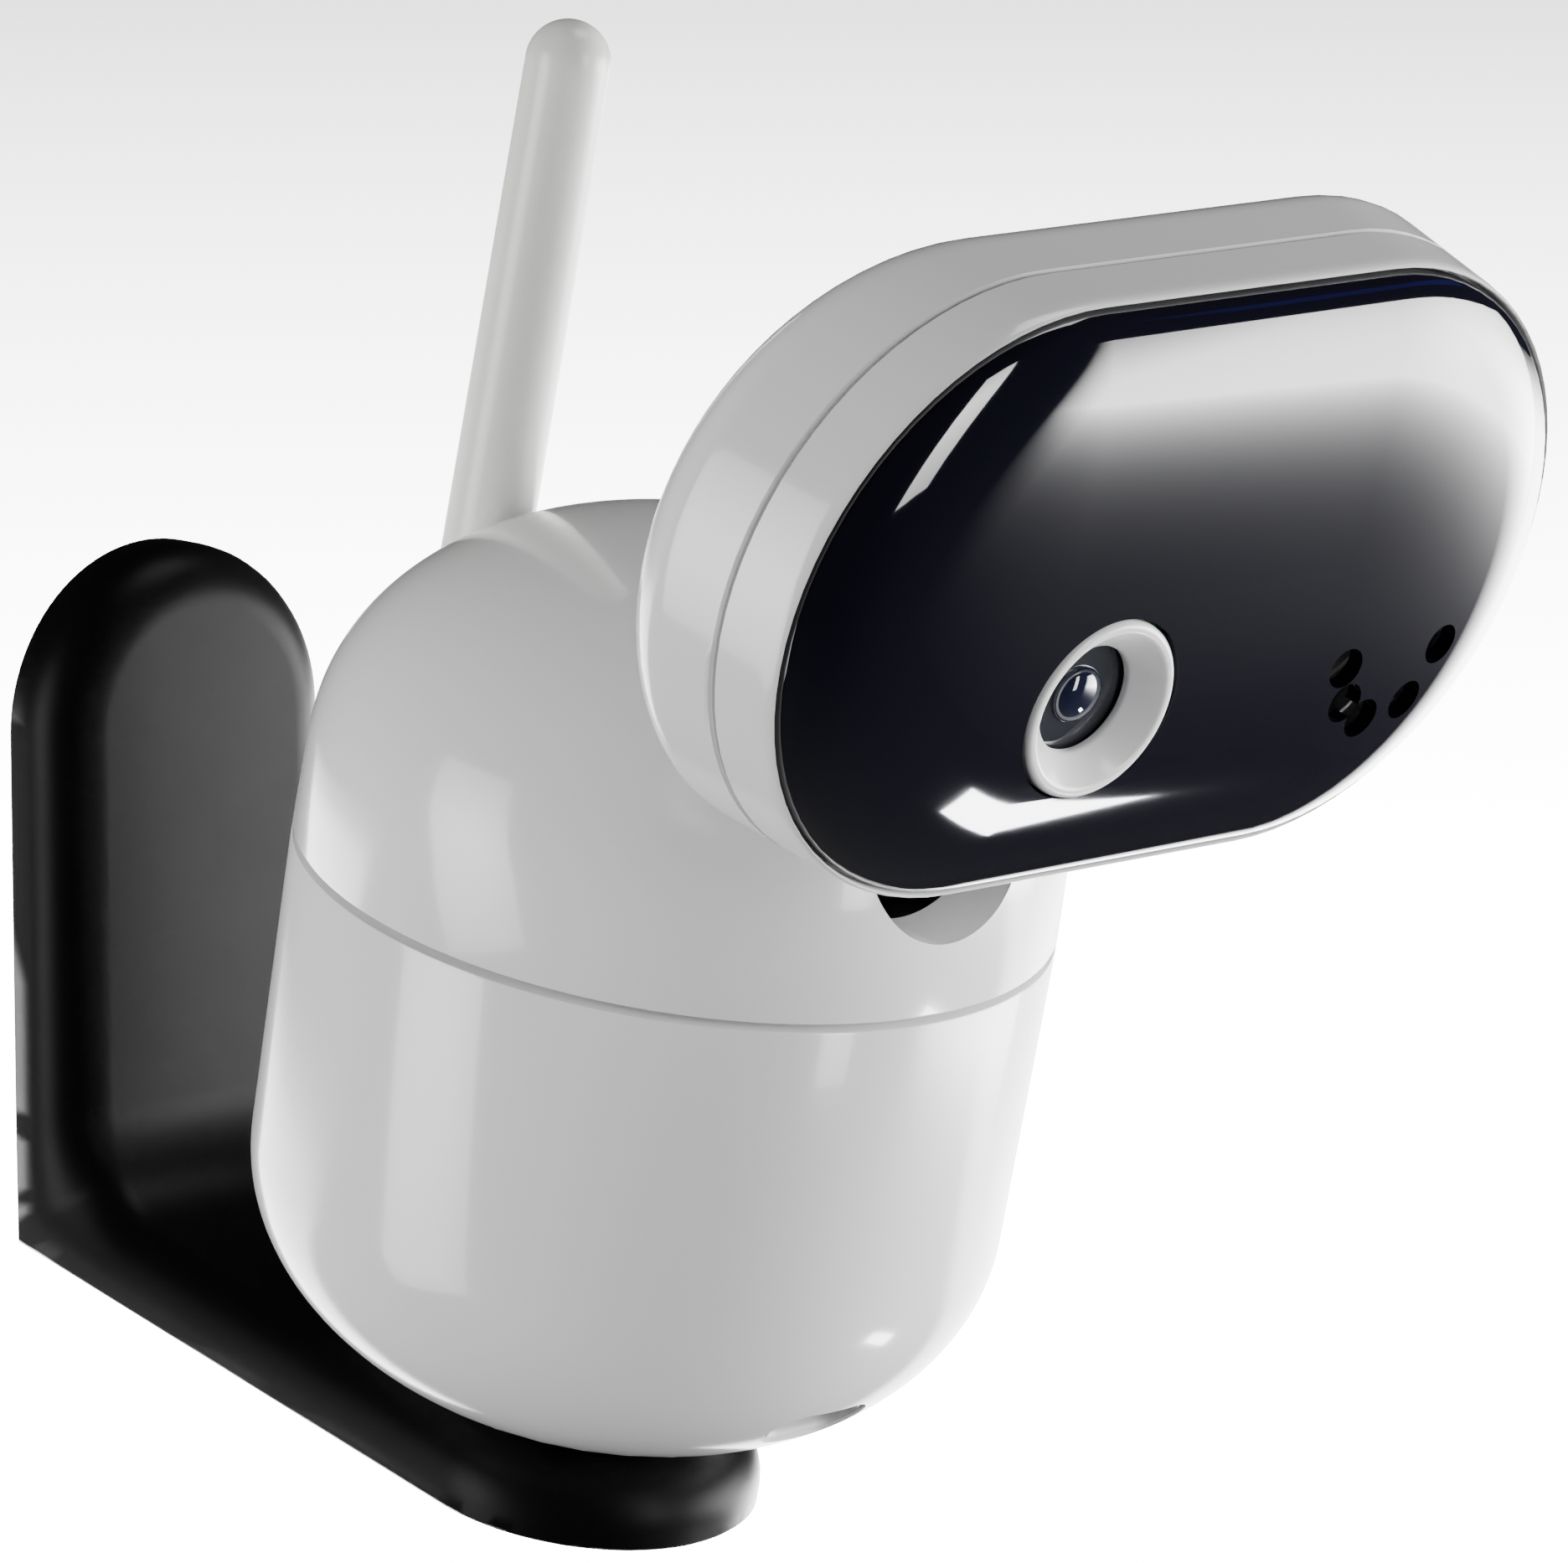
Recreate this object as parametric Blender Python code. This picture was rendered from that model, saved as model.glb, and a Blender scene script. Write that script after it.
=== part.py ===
"""Wall-mounted pan and tilt nursery camera on an L bracket, in metres, +Z up.

The world origin is the centre of the bracket's wall face, which lies in the XZ plane; the wall is
towards +Y and the camera looks towards -Y. The bracket's shelf leans down away from the wall, so
everything that stands on it is built in the "seat" frame: its origin is where the camera's own
axis meets the top of the shelf, and its +Z runs up the camera.
"""

import math

import bmesh
import bpy
from mathutils import Matrix, Vector

# ------------------------------------------------------------------ driving dimensions (metres)
GAP = 0.0003
RUNNING_GAP = 0.0002
INSET = 0.00015

LEAN = math.radians(13.0)
BRACKET_WIDTH = 0.0350
PLATE_HEIGHT = 0.0680
PLATE_THICKNESS = 0.0086
SHELF_THICKNESS = 0.0075
SHELF_OVERHANG = 0.0170
BODY_TO_WALL_CORNER = 0.0288
BRACKET_EDGE_RADIUS = 0.0052
BRACKET_CORNER_FILLET = 0.0100
KEYHOLE_HEAD_RADIUS = 0.0042
KEYHOLE_SLOT_RADIUS = 0.0021
KEYHOLE_LIP = 0.0018
KEYHOLE_DEPTH = 0.0048
KEYHOLE_TRAVEL = 0.0080
KEYHOLE_PITCH = 0.0340

BODY_RADIUS = 0.0360
SEAM_HEIGHT = 0.0540
SEAM_GAP = 0.0007
SHELL_WALL = 0.0022
BOWL_START = 0.0243
BOWL_TAPER = 0.0004
BOWL_DEPTH = 0.0245
BOWL_POWER = 2.05
DOME_SKIRT_HEIGHT = 0.0080
DOME_TAPER = 0.0002
DOME_RISE = 0.0257
DOME_POWER = 2.15
BASE_FLAT_HEIGHT = 0.0016
CAP_HEIGHT = 0.0046
CAP_WALL = 0.0020
FOOT_OUTER = 0.0118
FOOT_INNER = 0.0078

LOCK_SHANK_RADIUS = 0.0030
LOCK_HEAD_RADIUS = 0.0062
LOCK_HEAD_HEIGHT = 0.0030
INSERT_RADIUS = 0.0052
INSERT_HEIGHT = 0.0070

SCREW_RADIUS = 0.0010
SCREW_HEAD_RADIUS = 0.0019
SCREW_HEAD_HEIGHT = 0.0013
BASE_SCREW_RING = 0.0116
BASE_RIB_MARGIN = 0.0012
POST_RADIUS = 0.0030
THIRD_TURN = math.tau / 3.0
FIRST_SCREW_BEARING = math.radians(95.0)
FIRST_CHASSIS_BEARING = math.radians(35.0)

INLET_HEIGHT = 0.0103
INLET_LENGTH = 0.0115
INLET_WIDTH = 0.0066
INLET_DEPTH = 0.0062
INLET_CUP_WALL = 0.0012
SOCKET_WIDTH = 0.0078
SOCKET_THICKNESS = 0.0028
SOCKET_DEPTH = 0.0050

BUTTON_HEIGHT = 0.0320
BUTTON_RADIUS = 0.0032
BUTTON_PROUD = 0.0005

CHASSIS_DROP = 0.0110
CHASSIS_THICKNESS = 0.0020
LIP_THICKNESS = 0.0013
LEDGE_WIDTH = 0.0022
LEDGE_THICKNESS = 0.0030
CHASSIS_SCREW_MARGIN = 0.0070
HUB_RADIUS = 0.0067
HUB_BORE = 0.0045
SHOULDER_RADIUS = 0.0090
TURNTABLE_LIFT = 0.0011
TURNTABLE_SCREW_MARGIN = 0.0048
TURNTABLE_THICKNESS = 0.0020
RETAINER_RADIUS = 0.0086

PAN_MODULE = 0.00096
PAN_TEETH = 30
PAN_PINION_TEETH = 10
PAN_GEAR_LIFT = 0.0028
PAN_GEAR_THICKNESS = 0.0042
PAN_MOTOR_ROOM = 0.0008
PAN_MOTOR_LENGTH = 0.0090
PAN_MOTOR_AZIMUTH = FIRST_CHASSIS_BEARING + math.pi
SHAFT_RADIUS = 0.0010

BOARD_HEIGHT = 0.0200
BOARD_RADIUS = 0.0240
BOARD_THICKNESS = 0.0014

TILT_Y = -0.0130
TILT_LIFT = 0.0130
TILT_MODULE = 0.0006
TILT_TEETH = 24
TILT_PINION_TEETH = 12
TILT_GEAR_THICKNESS = 0.0030
TILT_MOTOR_RADIUS = 0.0051
TILT_MOTOR_LENGTH = 0.0150
AXLE_RADIUS = 0.0015
EAR_THICKNESS = 0.0025
EAR_HALF_DEPTH = 0.0052
ARM_HALF_WIDTH = 0.0080
ARM_HALF_THICKNESS = 0.0052
ARM_END_BEHIND_FACE = 0.0205
ARM_END_BELOW_FACE = 0.0104
SLOT_HALF_WIDTH = 0.0097
SLOT_LIFT = 0.0073
SLOT_REAR_Y = -0.0062
SLOT_TUNNEL_DEPTH = 0.0066
SLOT_TUNNEL_WALL = 0.0020

ANTENNA_SETBACK = 0.0038
ANTENNA_PIVOT_LIFT = 0.0132
ANTENNA_LENGTH = 0.0605
ANTENNA_FOOT_RADIUS = 0.00420
ANTENNA_TIP_RADIUS = 0.00400
ANTENNA_LEAN = math.radians(1.2)
ANTENNA_PIN_RADIUS = 0.0011
ANTENNA_POCKET_WALL = 0.0020
ANTENNA_FOLD = math.radians(60.0)

FACE_STANDOFF = 0.0185
FACE_LIFT = 0.0494
FACE_PITCH = math.radians(6.6)
FACE_HALF_SPINE = 0.0179
GLASS_RADIUS = 0.0281
GLASS_BULGE = 0.0050
GLASS_WALL = 0.0016
GLASS_POWER = 2.8
HEAD_RADIUS = 0.0289
HEAD_STRAIGHT = 0.0130
HEAD_DEPTH = 0.0290
HEAD_BACK_SPREAD = 0.0050
BEZEL_DEPTH = 0.0062
REAR_CAP_START = 0.0215
HEAD_WALL = 0.0018

LENS_X = -0.0099
LENS_Z = -0.0092
RING_RADIUS = 0.0087
RING_APERTURE = 0.0052
RING_DEPTH = 0.0032
RING_LIP = 0.0008
WINDOW_RADIUS = 0.0060
WINDOW_THICKNESS = 0.0010
BARREL_RADIUS = 0.0055
BARREL_LENGTH = 0.0062
ELEMENT_RADIUS = 0.0030

PORT_X = 0.0274
PORT_Z = -0.0090
PORT_RING_RADIUS = 0.0064
PORT_RADIUS = 0.0020
PORT_ANGLES = (2.0, 182.0, 219.0, 253.0, 306.0)
SPEAKER_RADIUS = 0.0088
SPEAKER_DEPTH = 0.0040
SENSOR_X = 0.0099
SENSOR_Z = 0.0112
SENSOR_RADIUS = 0.0030
MICROPHONE_X = -0.0330
EMITTER_X = 0.0215
EMITTER_Z = 0.0120
EMITTER_RADIUS = 0.0024
HEAD_BOARD_Y = 0.0088
HEAD_BOARD_THICKNESS = 0.0012
HEAD_FRAME_Y = 0.0128
HEAD_FRAME_THICKNESS = 0.0016

ROUND_SEGMENTS = 32
SMALL_SEGMENTS = 16
END_SEGMENTS = 10

# --------------------------------------------------------- sizes that follow from those above
CORNER = Vector((0.0, 0.0, -PLATE_HEIGHT / 2.0))
AXIS_TO_WALL_CORNER = BODY_RADIUS + BODY_TO_WALL_CORNER
SHELF_LENGTH = AXIS_TO_WALL_CORNER + SHELF_OVERHANG
BOWL_RADIUS = BODY_RADIUS - BOWL_TAPER
DOME_RADIUS = BODY_RADIUS - DOME_TAPER
DOME_START = SEAM_HEIGHT + DOME_SKIRT_HEIGHT
LIP_OUTER = BODY_RADIUS - SHELL_WALL - GAP
LIP_INNER = LIP_OUTER - LIP_THICKNESS
CHASSIS_HEIGHT = SEAM_HEIGHT - CHASSIS_DROP
CHASSIS_SCREW_RING = BODY_RADIUS - SHELL_WALL - CHASSIS_SCREW_MARGIN
TURNTABLE_HEIGHT = SEAM_HEIGHT + TURNTABLE_LIFT
TURNTABLE_SCREW_RING = BODY_RADIUS - SHELL_WALL - TURNTABLE_SCREW_MARGIN
PAN_GEAR_BOTTOM = CHASSIS_HEIGHT + PAN_GEAR_LIFT
TILT_Z = SEAM_HEIGHT + TILT_LIFT
SLOT_BOTTOM = SEAM_HEIGHT + SLOT_LIFT
ANTENNA_Y = BODY_RADIUS - ANTENNA_SETBACK
ANTENNA_PIVOT_Z = SEAM_HEIGHT + ANTENNA_PIVOT_LIFT
ANTENNA_TIP_Z = ANTENNA_PIVOT_Z + ANTENNA_LENGTH
FACE_Y = -BODY_RADIUS - FACE_STANDOFF
FACE_Z = SEAM_HEIGHT + FACE_LIFT
ARM_REACH_Y = FACE_Y - TILT_Y + ARM_END_BEHIND_FACE
ARM_REACH_Z = FACE_Z - TILT_Z - ARM_END_BELOW_FACE
LEAN_TURN = Matrix.Rotation(LEAN, 3, "X")
SEAT = CORNER + LEAN_TURN @ Vector((0.0, -AXIS_TO_WALL_CORNER, SHELF_THICKNESS))
PAN_CENTRES = PAN_MODULE * (PAN_TEETH + PAN_PINION_TEETH) / 2.0
PAN_MOTOR_RADIUS = PAN_CENTRES - RETAINER_RADIUS - PAN_MOTOR_ROOM
TILT_CENTRES = TILT_MODULE * (TILT_TEETH + TILT_PINION_TEETH) / 2.0
EAR_INNER = SLOT_HALF_WIDTH + 0.0020
EAR_OUTER = EAR_INNER + EAR_THICKNESS
TILT_GEAR_START = EAR_OUTER + 0.0006
FRAME_FLOOR = TURNTABLE_HEIGHT + TURNTABLE_THICKNESS + GAP

WHITE = ("white_gloss", (0.86, 0.86, 0.84), 0.18, 0.0)
BLACK = ("black_soft", (0.012, 0.012, 0.013), 0.55, 0.0)
GLASS = ("black_glass", (0.006, 0.006, 0.012), 0.04, 0.0)
PEARL = ("antenna_pearl", (0.80, 0.80, 0.77), 0.25, 0.0)
DARK = ("dark_plastic", (0.03, 0.03, 0.032), 0.5, 0.0)
STEEL = ("steel", (0.62, 0.62, 0.64), 0.3, 1.0)
BRASS = ("brass", (0.72, 0.55, 0.28), 0.3, 1.0)
BOARD = ("board_green", (0.03, 0.16, 0.07), 0.45, 0.0)
ACETAL = ("acetal", (0.80, 0.79, 0.74), 0.4, 0.0)
RUBBER = ("rubber", (0.03, 0.03, 0.03), 0.8, 0.0)
CLEAR = ("clear_lens", (0.05, 0.06, 0.08), 0.03, 0.0)
GREY = ("grey_plastic", (0.55, 0.55, 0.54), 0.4, 0.0)


# ------------------------------------------------------------------------------- scene helpers
def clear_scene():
    """Removes every object that the file opens with."""
    for obj in list(bpy.data.objects):
        bpy.data.objects.remove(obj)


def material(finish):
    """The Principled material of a finish, made once."""
    name, colour, roughness, metallic = finish
    found = bpy.data.materials.get(name)
    if found:
        return found
    made = bpy.data.materials.new(name)
    made.use_nodes = True
    shader = made.node_tree.nodes["Principled BSDF"]
    shader.inputs["Base Color"].default_value = (*colour, 1.0)
    shader.inputs["Roughness"].default_value = roughness
    shader.inputs["Metallic"].default_value = metallic
    return made


def empty(name, location, turn_x=0.0, parent=None):
    """A frame that pieces hang from, at a joint's axis or on a seat."""
    made = bpy.data.objects.new(name, None)
    bpy.context.collection.objects.link(made)
    made.parent = parent
    made.location = location
    made.rotation_euler.x = turn_x
    return made


def solid(name, mesh_work, finish, parent, location=(0, 0, 0), cutter=False, turn_z=0.0):
    """An object from a finished bmesh, facing outwards and shaded like a moulding."""
    bmesh.ops.remove_doubles(mesh_work, verts=mesh_work.verts, dist=1e-7)
    bmesh.ops.recalc_face_normals(mesh_work, faces=mesh_work.faces)
    mesh = bpy.data.meshes.new(name)
    mesh_work.to_mesh(mesh)
    mesh_work.free()
    mesh.materials.append(material(finish))
    mesh.shade_smooth()
    mesh.set_sharp_from_angle(angle=math.radians(35.0))
    made = bpy.data.objects.new(name, mesh)
    bpy.context.collection.objects.link(made)
    made.parent = parent
    made.location = location
    made.rotation_euler.z = turn_z
    if cutter:
        made.hide_render = True
        made.display_type = "WIRE"
    return made


def combine(target, other, operation, solver="EXACT"):
    """A live Boolean of target with other."""
    modifier = target.modifiers.new(f"{operation.lower()}_{other.name}", "BOOLEAN")
    modifier.operation = operation
    modifier.object = other
    modifier.solver = solver
    return modifier


def turned(profile, segments=ROUND_SEGMENTS):
    """A bmesh turned round Z from a closed loop of (radius, height) points."""
    work = bmesh.new()
    ring = [work.verts.new((radius, 0.0, height)) for radius, height in profile]
    edges = [work.edges.new((a, b)) for a, b in zip(ring, ring[1:] + ring[:1])]
    on_axis = [edge for edge in edges if all(vert.co.x < 1e-9 for vert in edge.verts)]
    swept = [edge for edge in edges if edge not in on_axis]
    bmesh.ops.spin(work, geom=swept, cent=(0, 0, 0), axis=(0, 0, 1),
                   angle=math.tau, steps=segments, use_merge=True)
    bmesh.ops.delete(work, geom=on_axis, context="EDGES")
    bmesh.ops.remove_doubles(work, verts=work.verts, dist=1e-7)
    return work


def prism(outline, low, high):
    """A bmesh extruded along Z from low to high over a closed XY outline."""
    work = bmesh.new()
    face = work.faces.new([work.verts.new((x, y, low)) for x, y in outline])
    lifted = bmesh.ops.extrude_face_region(work, geom=[face])["geom"]
    tops = [item for item in lifted if isinstance(item, bmesh.types.BMVert)]
    bmesh.ops.translate(work, verts=tops, vec=(0, 0, high - low))
    return work


def reaim(work, turn, shift=(0, 0, 0)):
    """The same bmesh, turned by a matrix and then shifted."""
    bmesh.ops.transform(work, matrix=Matrix.Translation(shift) @ turn.to_4x4(), verts=work.verts)
    return work


ALONG_X = Matrix.Rotation(math.pi / 2.0, 3, "Y")
ALONG_BACK = Matrix.Rotation(-math.pi / 2.0, 3, "X")
ALONG_X_KEEP_Y = Matrix(((0, 0, 1), (1, 0, 0), (0, 1, 0)))


def rod(radius, low, high, segments=SMALL_SEGMENTS):
    """A round bar along Z."""
    return turned([(0, low), (radius, low), (radius, high), (0, high)], segments)


def stadium(half_spine, radius, steps=END_SEGMENTS):
    """A closed outline: two half circles of a radius, joined over a spine along the first axis."""
    points = []
    for side in (1, -1):
        for step in range(steps + 1):
            angle = math.pi * (step / steps - 0.5) + (0.0 if side > 0 else math.pi)
            points.append((side * half_spine + radius * math.cos(angle), radius * math.sin(angle)))
    return points


def box(x_half, y_low, y_high, z_low, z_high):
    """A block centred on X."""
    return prism([(-x_half, y_low), (x_half, y_low), (x_half, y_high), (-x_half, y_high)],
                 z_low, z_high)


def gear_outline(module, teeth, backlash=0.00016, flank_points=3):
    """An involute outline with a tooth centred on +X."""
    pressure = math.radians(25.0)
    pitch = module * teeth / 2.0
    base = pitch * math.cos(pressure)
    tip = pitch + 0.9 * module
    root = pitch - 1.15 * module
    start = max(base, root + 0.05 * module)

    def roll(radius):
        ratio = max(1.0, radius / base)
        return math.sqrt(ratio * ratio - 1.0) - math.acos(1.0 / ratio)

    half_at_pitch = math.pi / (2.0 * teeth) - backlash / (2.0 * pitch)
    outline = []
    for tooth in range(teeth):
        middle = math.tau * tooth / teeth
        flank = [(root, half_at_pitch + roll(pitch))]
        for step in range(flank_points):
            radius = start + (tip - start) * step / (flank_points - 1)
            flank.append((radius, half_at_pitch + roll(pitch) - roll(radius)))
        for radius, half in flank:
            outline.append((radius * math.cos(middle - half), radius * math.sin(middle - half)))
        for radius, half in reversed(flank):
            outline.append((radius * math.cos(middle + half), radius * math.sin(middle + half)))
    return outline


def screw_solid(name, parent, location, length, up=True, finish=STEEL):
    """A pan-head screw along Z whose head is at the origin end; up points the shank to +Z."""
    sign = 1.0 if up else -1.0
    profile = [(0, 0), (SCREW_HEAD_RADIUS, 0), (SCREW_HEAD_RADIUS, sign * SCREW_HEAD_HEIGHT),
               (SCREW_RADIUS, sign * SCREW_HEAD_HEIGHT), (SCREW_RADIUS, sign * length),
               (0, sign * length)]
    made = solid(name, turned(profile, 12), finish, parent, location)
    driver_low, driver_high = sorted((-sign * 0.0002, sign * 0.0007))
    recess = solid(f"{name}_drive", box(0.0003, -0.0013, 0.0013, driver_low, driver_high),
                   finish, parent, location, cutter=True)
    combine(made, recess, "DIFFERENCE")
    return made


# ---------------------------------------------------------------------------- body of the shell
def bowl_radius(height, inset=0.0):
    """Outer radius of the lower shell at a height above the seat, less a wall."""
    if height >= BOWL_START:
        straight = (height - BOWL_START) / (SEAM_HEIGHT - BOWL_START)
        return BOWL_RADIUS + (BODY_RADIUS - BOWL_RADIUS) * straight - inset
    down = (BOWL_START - height) / (BOWL_DEPTH - inset)
    return (BOWL_RADIUS - inset) * max(0.0, 1.0 - down ** BOWL_POWER) ** (1.0 / BOWL_POWER)


def dome_radius(height, inset=0.0):
    """Outer radius of the upper shell at a height above the seat, less a wall."""
    if height <= DOME_START:
        straight = (height - SEAM_HEIGHT) / (DOME_START - SEAM_HEIGHT)
        return BODY_RADIUS + (DOME_RADIUS - BODY_RADIUS) * straight - inset
    up = (height - DOME_START) / (DOME_RISE - inset)
    return (DOME_RADIUS - inset) * max(0.0, 1.0 - up ** DOME_POWER) ** (1.0 / DOME_POWER)


def dome_profile(inset, low, steps=7):
    """Points up the dome from low to its crown, evenly spread round the curve."""
    points = [(dome_radius(low, inset), low)]
    rise = DOME_RISE - inset
    for step in range(steps + 1):
        angle = math.pi / 2.0 * step / steps
        height = DOME_START + rise * math.sin(angle) ** (2.0 / DOME_POWER)
        points.append((0.0 if step == steps else dome_radius(height, inset), height))
    return points


def bowl_profile(inset, low, steps=7):
    """Points down the bowl from its straight wall to the height low."""
    points = []
    depth = BOWL_DEPTH - inset
    reach = min(1.0, (BOWL_START - low) / depth)
    last = math.asin(reach ** (BOWL_POWER / 2.0))
    for step in range(steps + 1):
        height = BOWL_START - depth * math.sin(last * step / steps) ** (2.0 / BOWL_POWER)
        points.append((bowl_radius(height, inset), height))
    return points


# ------------------------------------------------------------------------------ the wall bracket
def rounded_slab(half, length, thickness):
    """A slab along +Y, half round at its far end, with the edges round its top rounded over.

    Its underside is flat and square edged, and its square end is at the origin.
    """
    work = bmesh.new()
    rings = []
    steps = 5
    levels = [(0.0, 0.0)]
    for step in range(steps + 1):
        angle = math.pi / 2.0 * step / steps
        levels.append((BRACKET_EDGE_RADIUS * (1.0 - math.cos(angle)),
                       thickness - BRACKET_EDGE_RADIUS * (1.0 - math.sin(angle))))
    for inset, height in levels:
        radius = half - inset
        points = [(-radius, 0.0), (radius, 0.0)]
        for step in range(END_SEGMENTS + 1):
            angle = math.pi * step / END_SEGMENTS
            points.append((radius * math.cos(angle), length - half + radius * math.sin(angle)))
        rings.append([work.verts.new((x, y, height)) for x, y in points])
    for lower, upper in zip(rings, rings[1:]):
        for here in range(len(lower)):
            there = (here + 1) % len(lower)
            work.faces.new((lower[here], lower[there], upper[there], upper[here]))
    work.faces.new(list(reversed(rings[0])))
    work.faces.new(rings[-1])
    return work


def make_bracket(seat):
    """The L bracket: a wall plate and a leaning shelf, blended in the inner corner."""
    stand = Matrix.Rotation(math.pi / 2.0, 3, "X")
    half = BRACKET_WIDTH / 2.0
    plate = rounded_slab(half, PLATE_HEIGHT, PLATE_THICKNESS)
    reaim(plate, stand, CORNER)
    bracket = solid("wall_bracket", plate, BLACK, None)

    shelf_turn = LEAN_TURN @ Matrix.Rotation(math.pi, 3, "Z")
    shelf = rounded_slab(half - INSET, SHELF_LENGTH, SHELF_THICKNESS)
    reaim(shelf, shelf_turn, CORNER)
    shelf_solid = solid("shelf_of_bracket", shelf, BLACK, None, cutter=True)
    combine(bracket, shelf_solid, "UNION", "MANIFOLD")

    inside = math.pi / 2.0 + LEAN
    tangent = BRACKET_CORNER_FILLET / math.tan(inside / 2.0)
    out = Vector((0.0, -math.cos(LEAN), -math.sin(LEAN)))
    rise = Vector((0.0, -math.sin(LEAN), math.cos(LEAN)))
    top_line = CORNER + rise * SHELF_THICKNESS
    depth_to_plate = (PLATE_THICKNESS + top_line.y) / math.cos(LEAN)
    corner = top_line + out * depth_to_plate
    on_plate = corner + Vector((0.0, 0.0, tangent))
    on_shelf = corner + out * tangent
    middle = on_shelf + rise * BRACKET_CORNER_FILLET
    outline = [(corner.y + 0.002, corner.z - 0.002), (on_plate.y + 0.002, on_plate.z)]
    steps = 7
    first = (on_plate - middle).normalized()
    sweep = math.pi - inside
    for step in range(steps + 1):
        turn = Matrix.Rotation(-sweep * step / steps, 3, "X")
        point = middle + turn @ first * BRACKET_CORNER_FILLET
        outline.append((point.y, point.z))
    outline.append((on_shelf.y - rise.y * 0.002, on_shelf.z - rise.z * 0.002))
    web_half = half - BRACKET_EDGE_RADIUS * 0.45
    web = prism([(y, z) for y, z in outline], -web_half, web_half)
    reaim(web, ALONG_X_KEEP_Y)
    web_solid = solid("corner_of_bracket", web, BLACK, None, cutter=True)
    combine(bracket, web_solid, "UNION", "MANIFOLD")

    for sign in (1, -1):
        low = sign * KEYHOLE_PITCH / 2.0 - KEYHOLE_TRAVEL / 2.0
        high = low + KEYHOLE_TRAVEL
        head = prism(stadium(0.0, KEYHOLE_HEAD_RADIUS, 8), -0.001, KEYHOLE_LIP + 0.001)
        reaim(head, stand, (0.0, 0.0, low))
        slot = prism([(x, y) for y, x in stadium(KEYHOLE_TRAVEL / 2.0, KEYHOLE_SLOT_RADIUS, 8)],
                     -0.0015, KEYHOLE_LIP + 0.0015)
        reaim(slot, stand, (0.0, 0.0, (low + high) / 2.0))
        under = prism([(x, y) for y, x in stadium(KEYHOLE_TRAVEL / 2.0, KEYHOLE_HEAD_RADIUS, 8)],
                      0.0, KEYHOLE_DEPTH - KEYHOLE_LIP)
        reaim(under, stand, (0.0, -KEYHOLE_LIP, (low + high) / 2.0))
        for label, work in (("head", head), ("slot", slot), ("under", under)):
            cut = solid(f"keyhole_{label}_{'upper' if sign > 0 else 'lower'}", work, BLACK, None,
                        cutter=True)
            combine(bracket, cut, "DIFFERENCE", "MANIFOLD")

    hole = solid("lock_hole", rod(LOCK_SHANK_RADIUS + GAP, -0.02, 0.002), BLACK, seat, cutter=True)
    recess = solid("lock_recess",
                   rod(LOCK_HEAD_RADIUS + 0.0006, -0.02,
                       -SHELF_THICKNESS + LOCK_HEAD_HEIGHT + GAP),
                   BLACK, seat, cutter=True)
    combine(bracket, hole, "DIFFERENCE", "MANIFOLD")
    combine(bracket, recess, "DIFFERENCE", "MANIFOLD")
    return bracket


def make_lock_screw(seat):
    """The thumb screw that clamps the camera to the shelf, with a coin slot in its head."""
    bottom = -SHELF_THICKNESS + 0.0002
    top = BASE_FLAT_HEIGHT + INSERT_HEIGHT - 0.0010
    head_top = bottom + LOCK_HEAD_HEIGHT - GAP
    chamfer = 0.0006
    profile = [(0, bottom), (LOCK_HEAD_RADIUS - chamfer, bottom),
               (LOCK_HEAD_RADIUS, bottom + chamfer), (LOCK_HEAD_RADIUS, head_top),
               (LOCK_SHANK_RADIUS, head_top), (LOCK_SHANK_RADIUS, top - chamfer),
               (LOCK_SHANK_RADIUS - chamfer, top), (0, top)]
    screw = solid("lock_screw", turned(profile, 32), STEEL, seat)
    slot = solid("lock_screw_slot", box(0.0008, -0.0045, 0.0045, bottom - 0.001, bottom + 0.0012),
                 STEEL, seat, cutter=True)
    combine(screw, slot, "DIFFERENCE")


# ------------------------------------------------------------------------------------- the base
def inlet_frame(seat):
    """The frame of the power inlet: origin on the bowl's surface, +Z out of it."""
    radius = bowl_radius(INLET_HEIGHT)
    down = (BOWL_START - INLET_HEIGHT) / BOWL_DEPTH
    slope_out = (radius / BOWL_RADIUS) ** (BOWL_POWER - 1.0) / BOWL_RADIUS
    slope_down = down ** (BOWL_POWER - 1.0) / BOWL_DEPTH
    below = math.atan2(slope_down, slope_out)
    return empty("inlet_frame", (0.0, -radius, INLET_HEIGHT), math.pi / 2.0 + below, seat)


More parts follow.
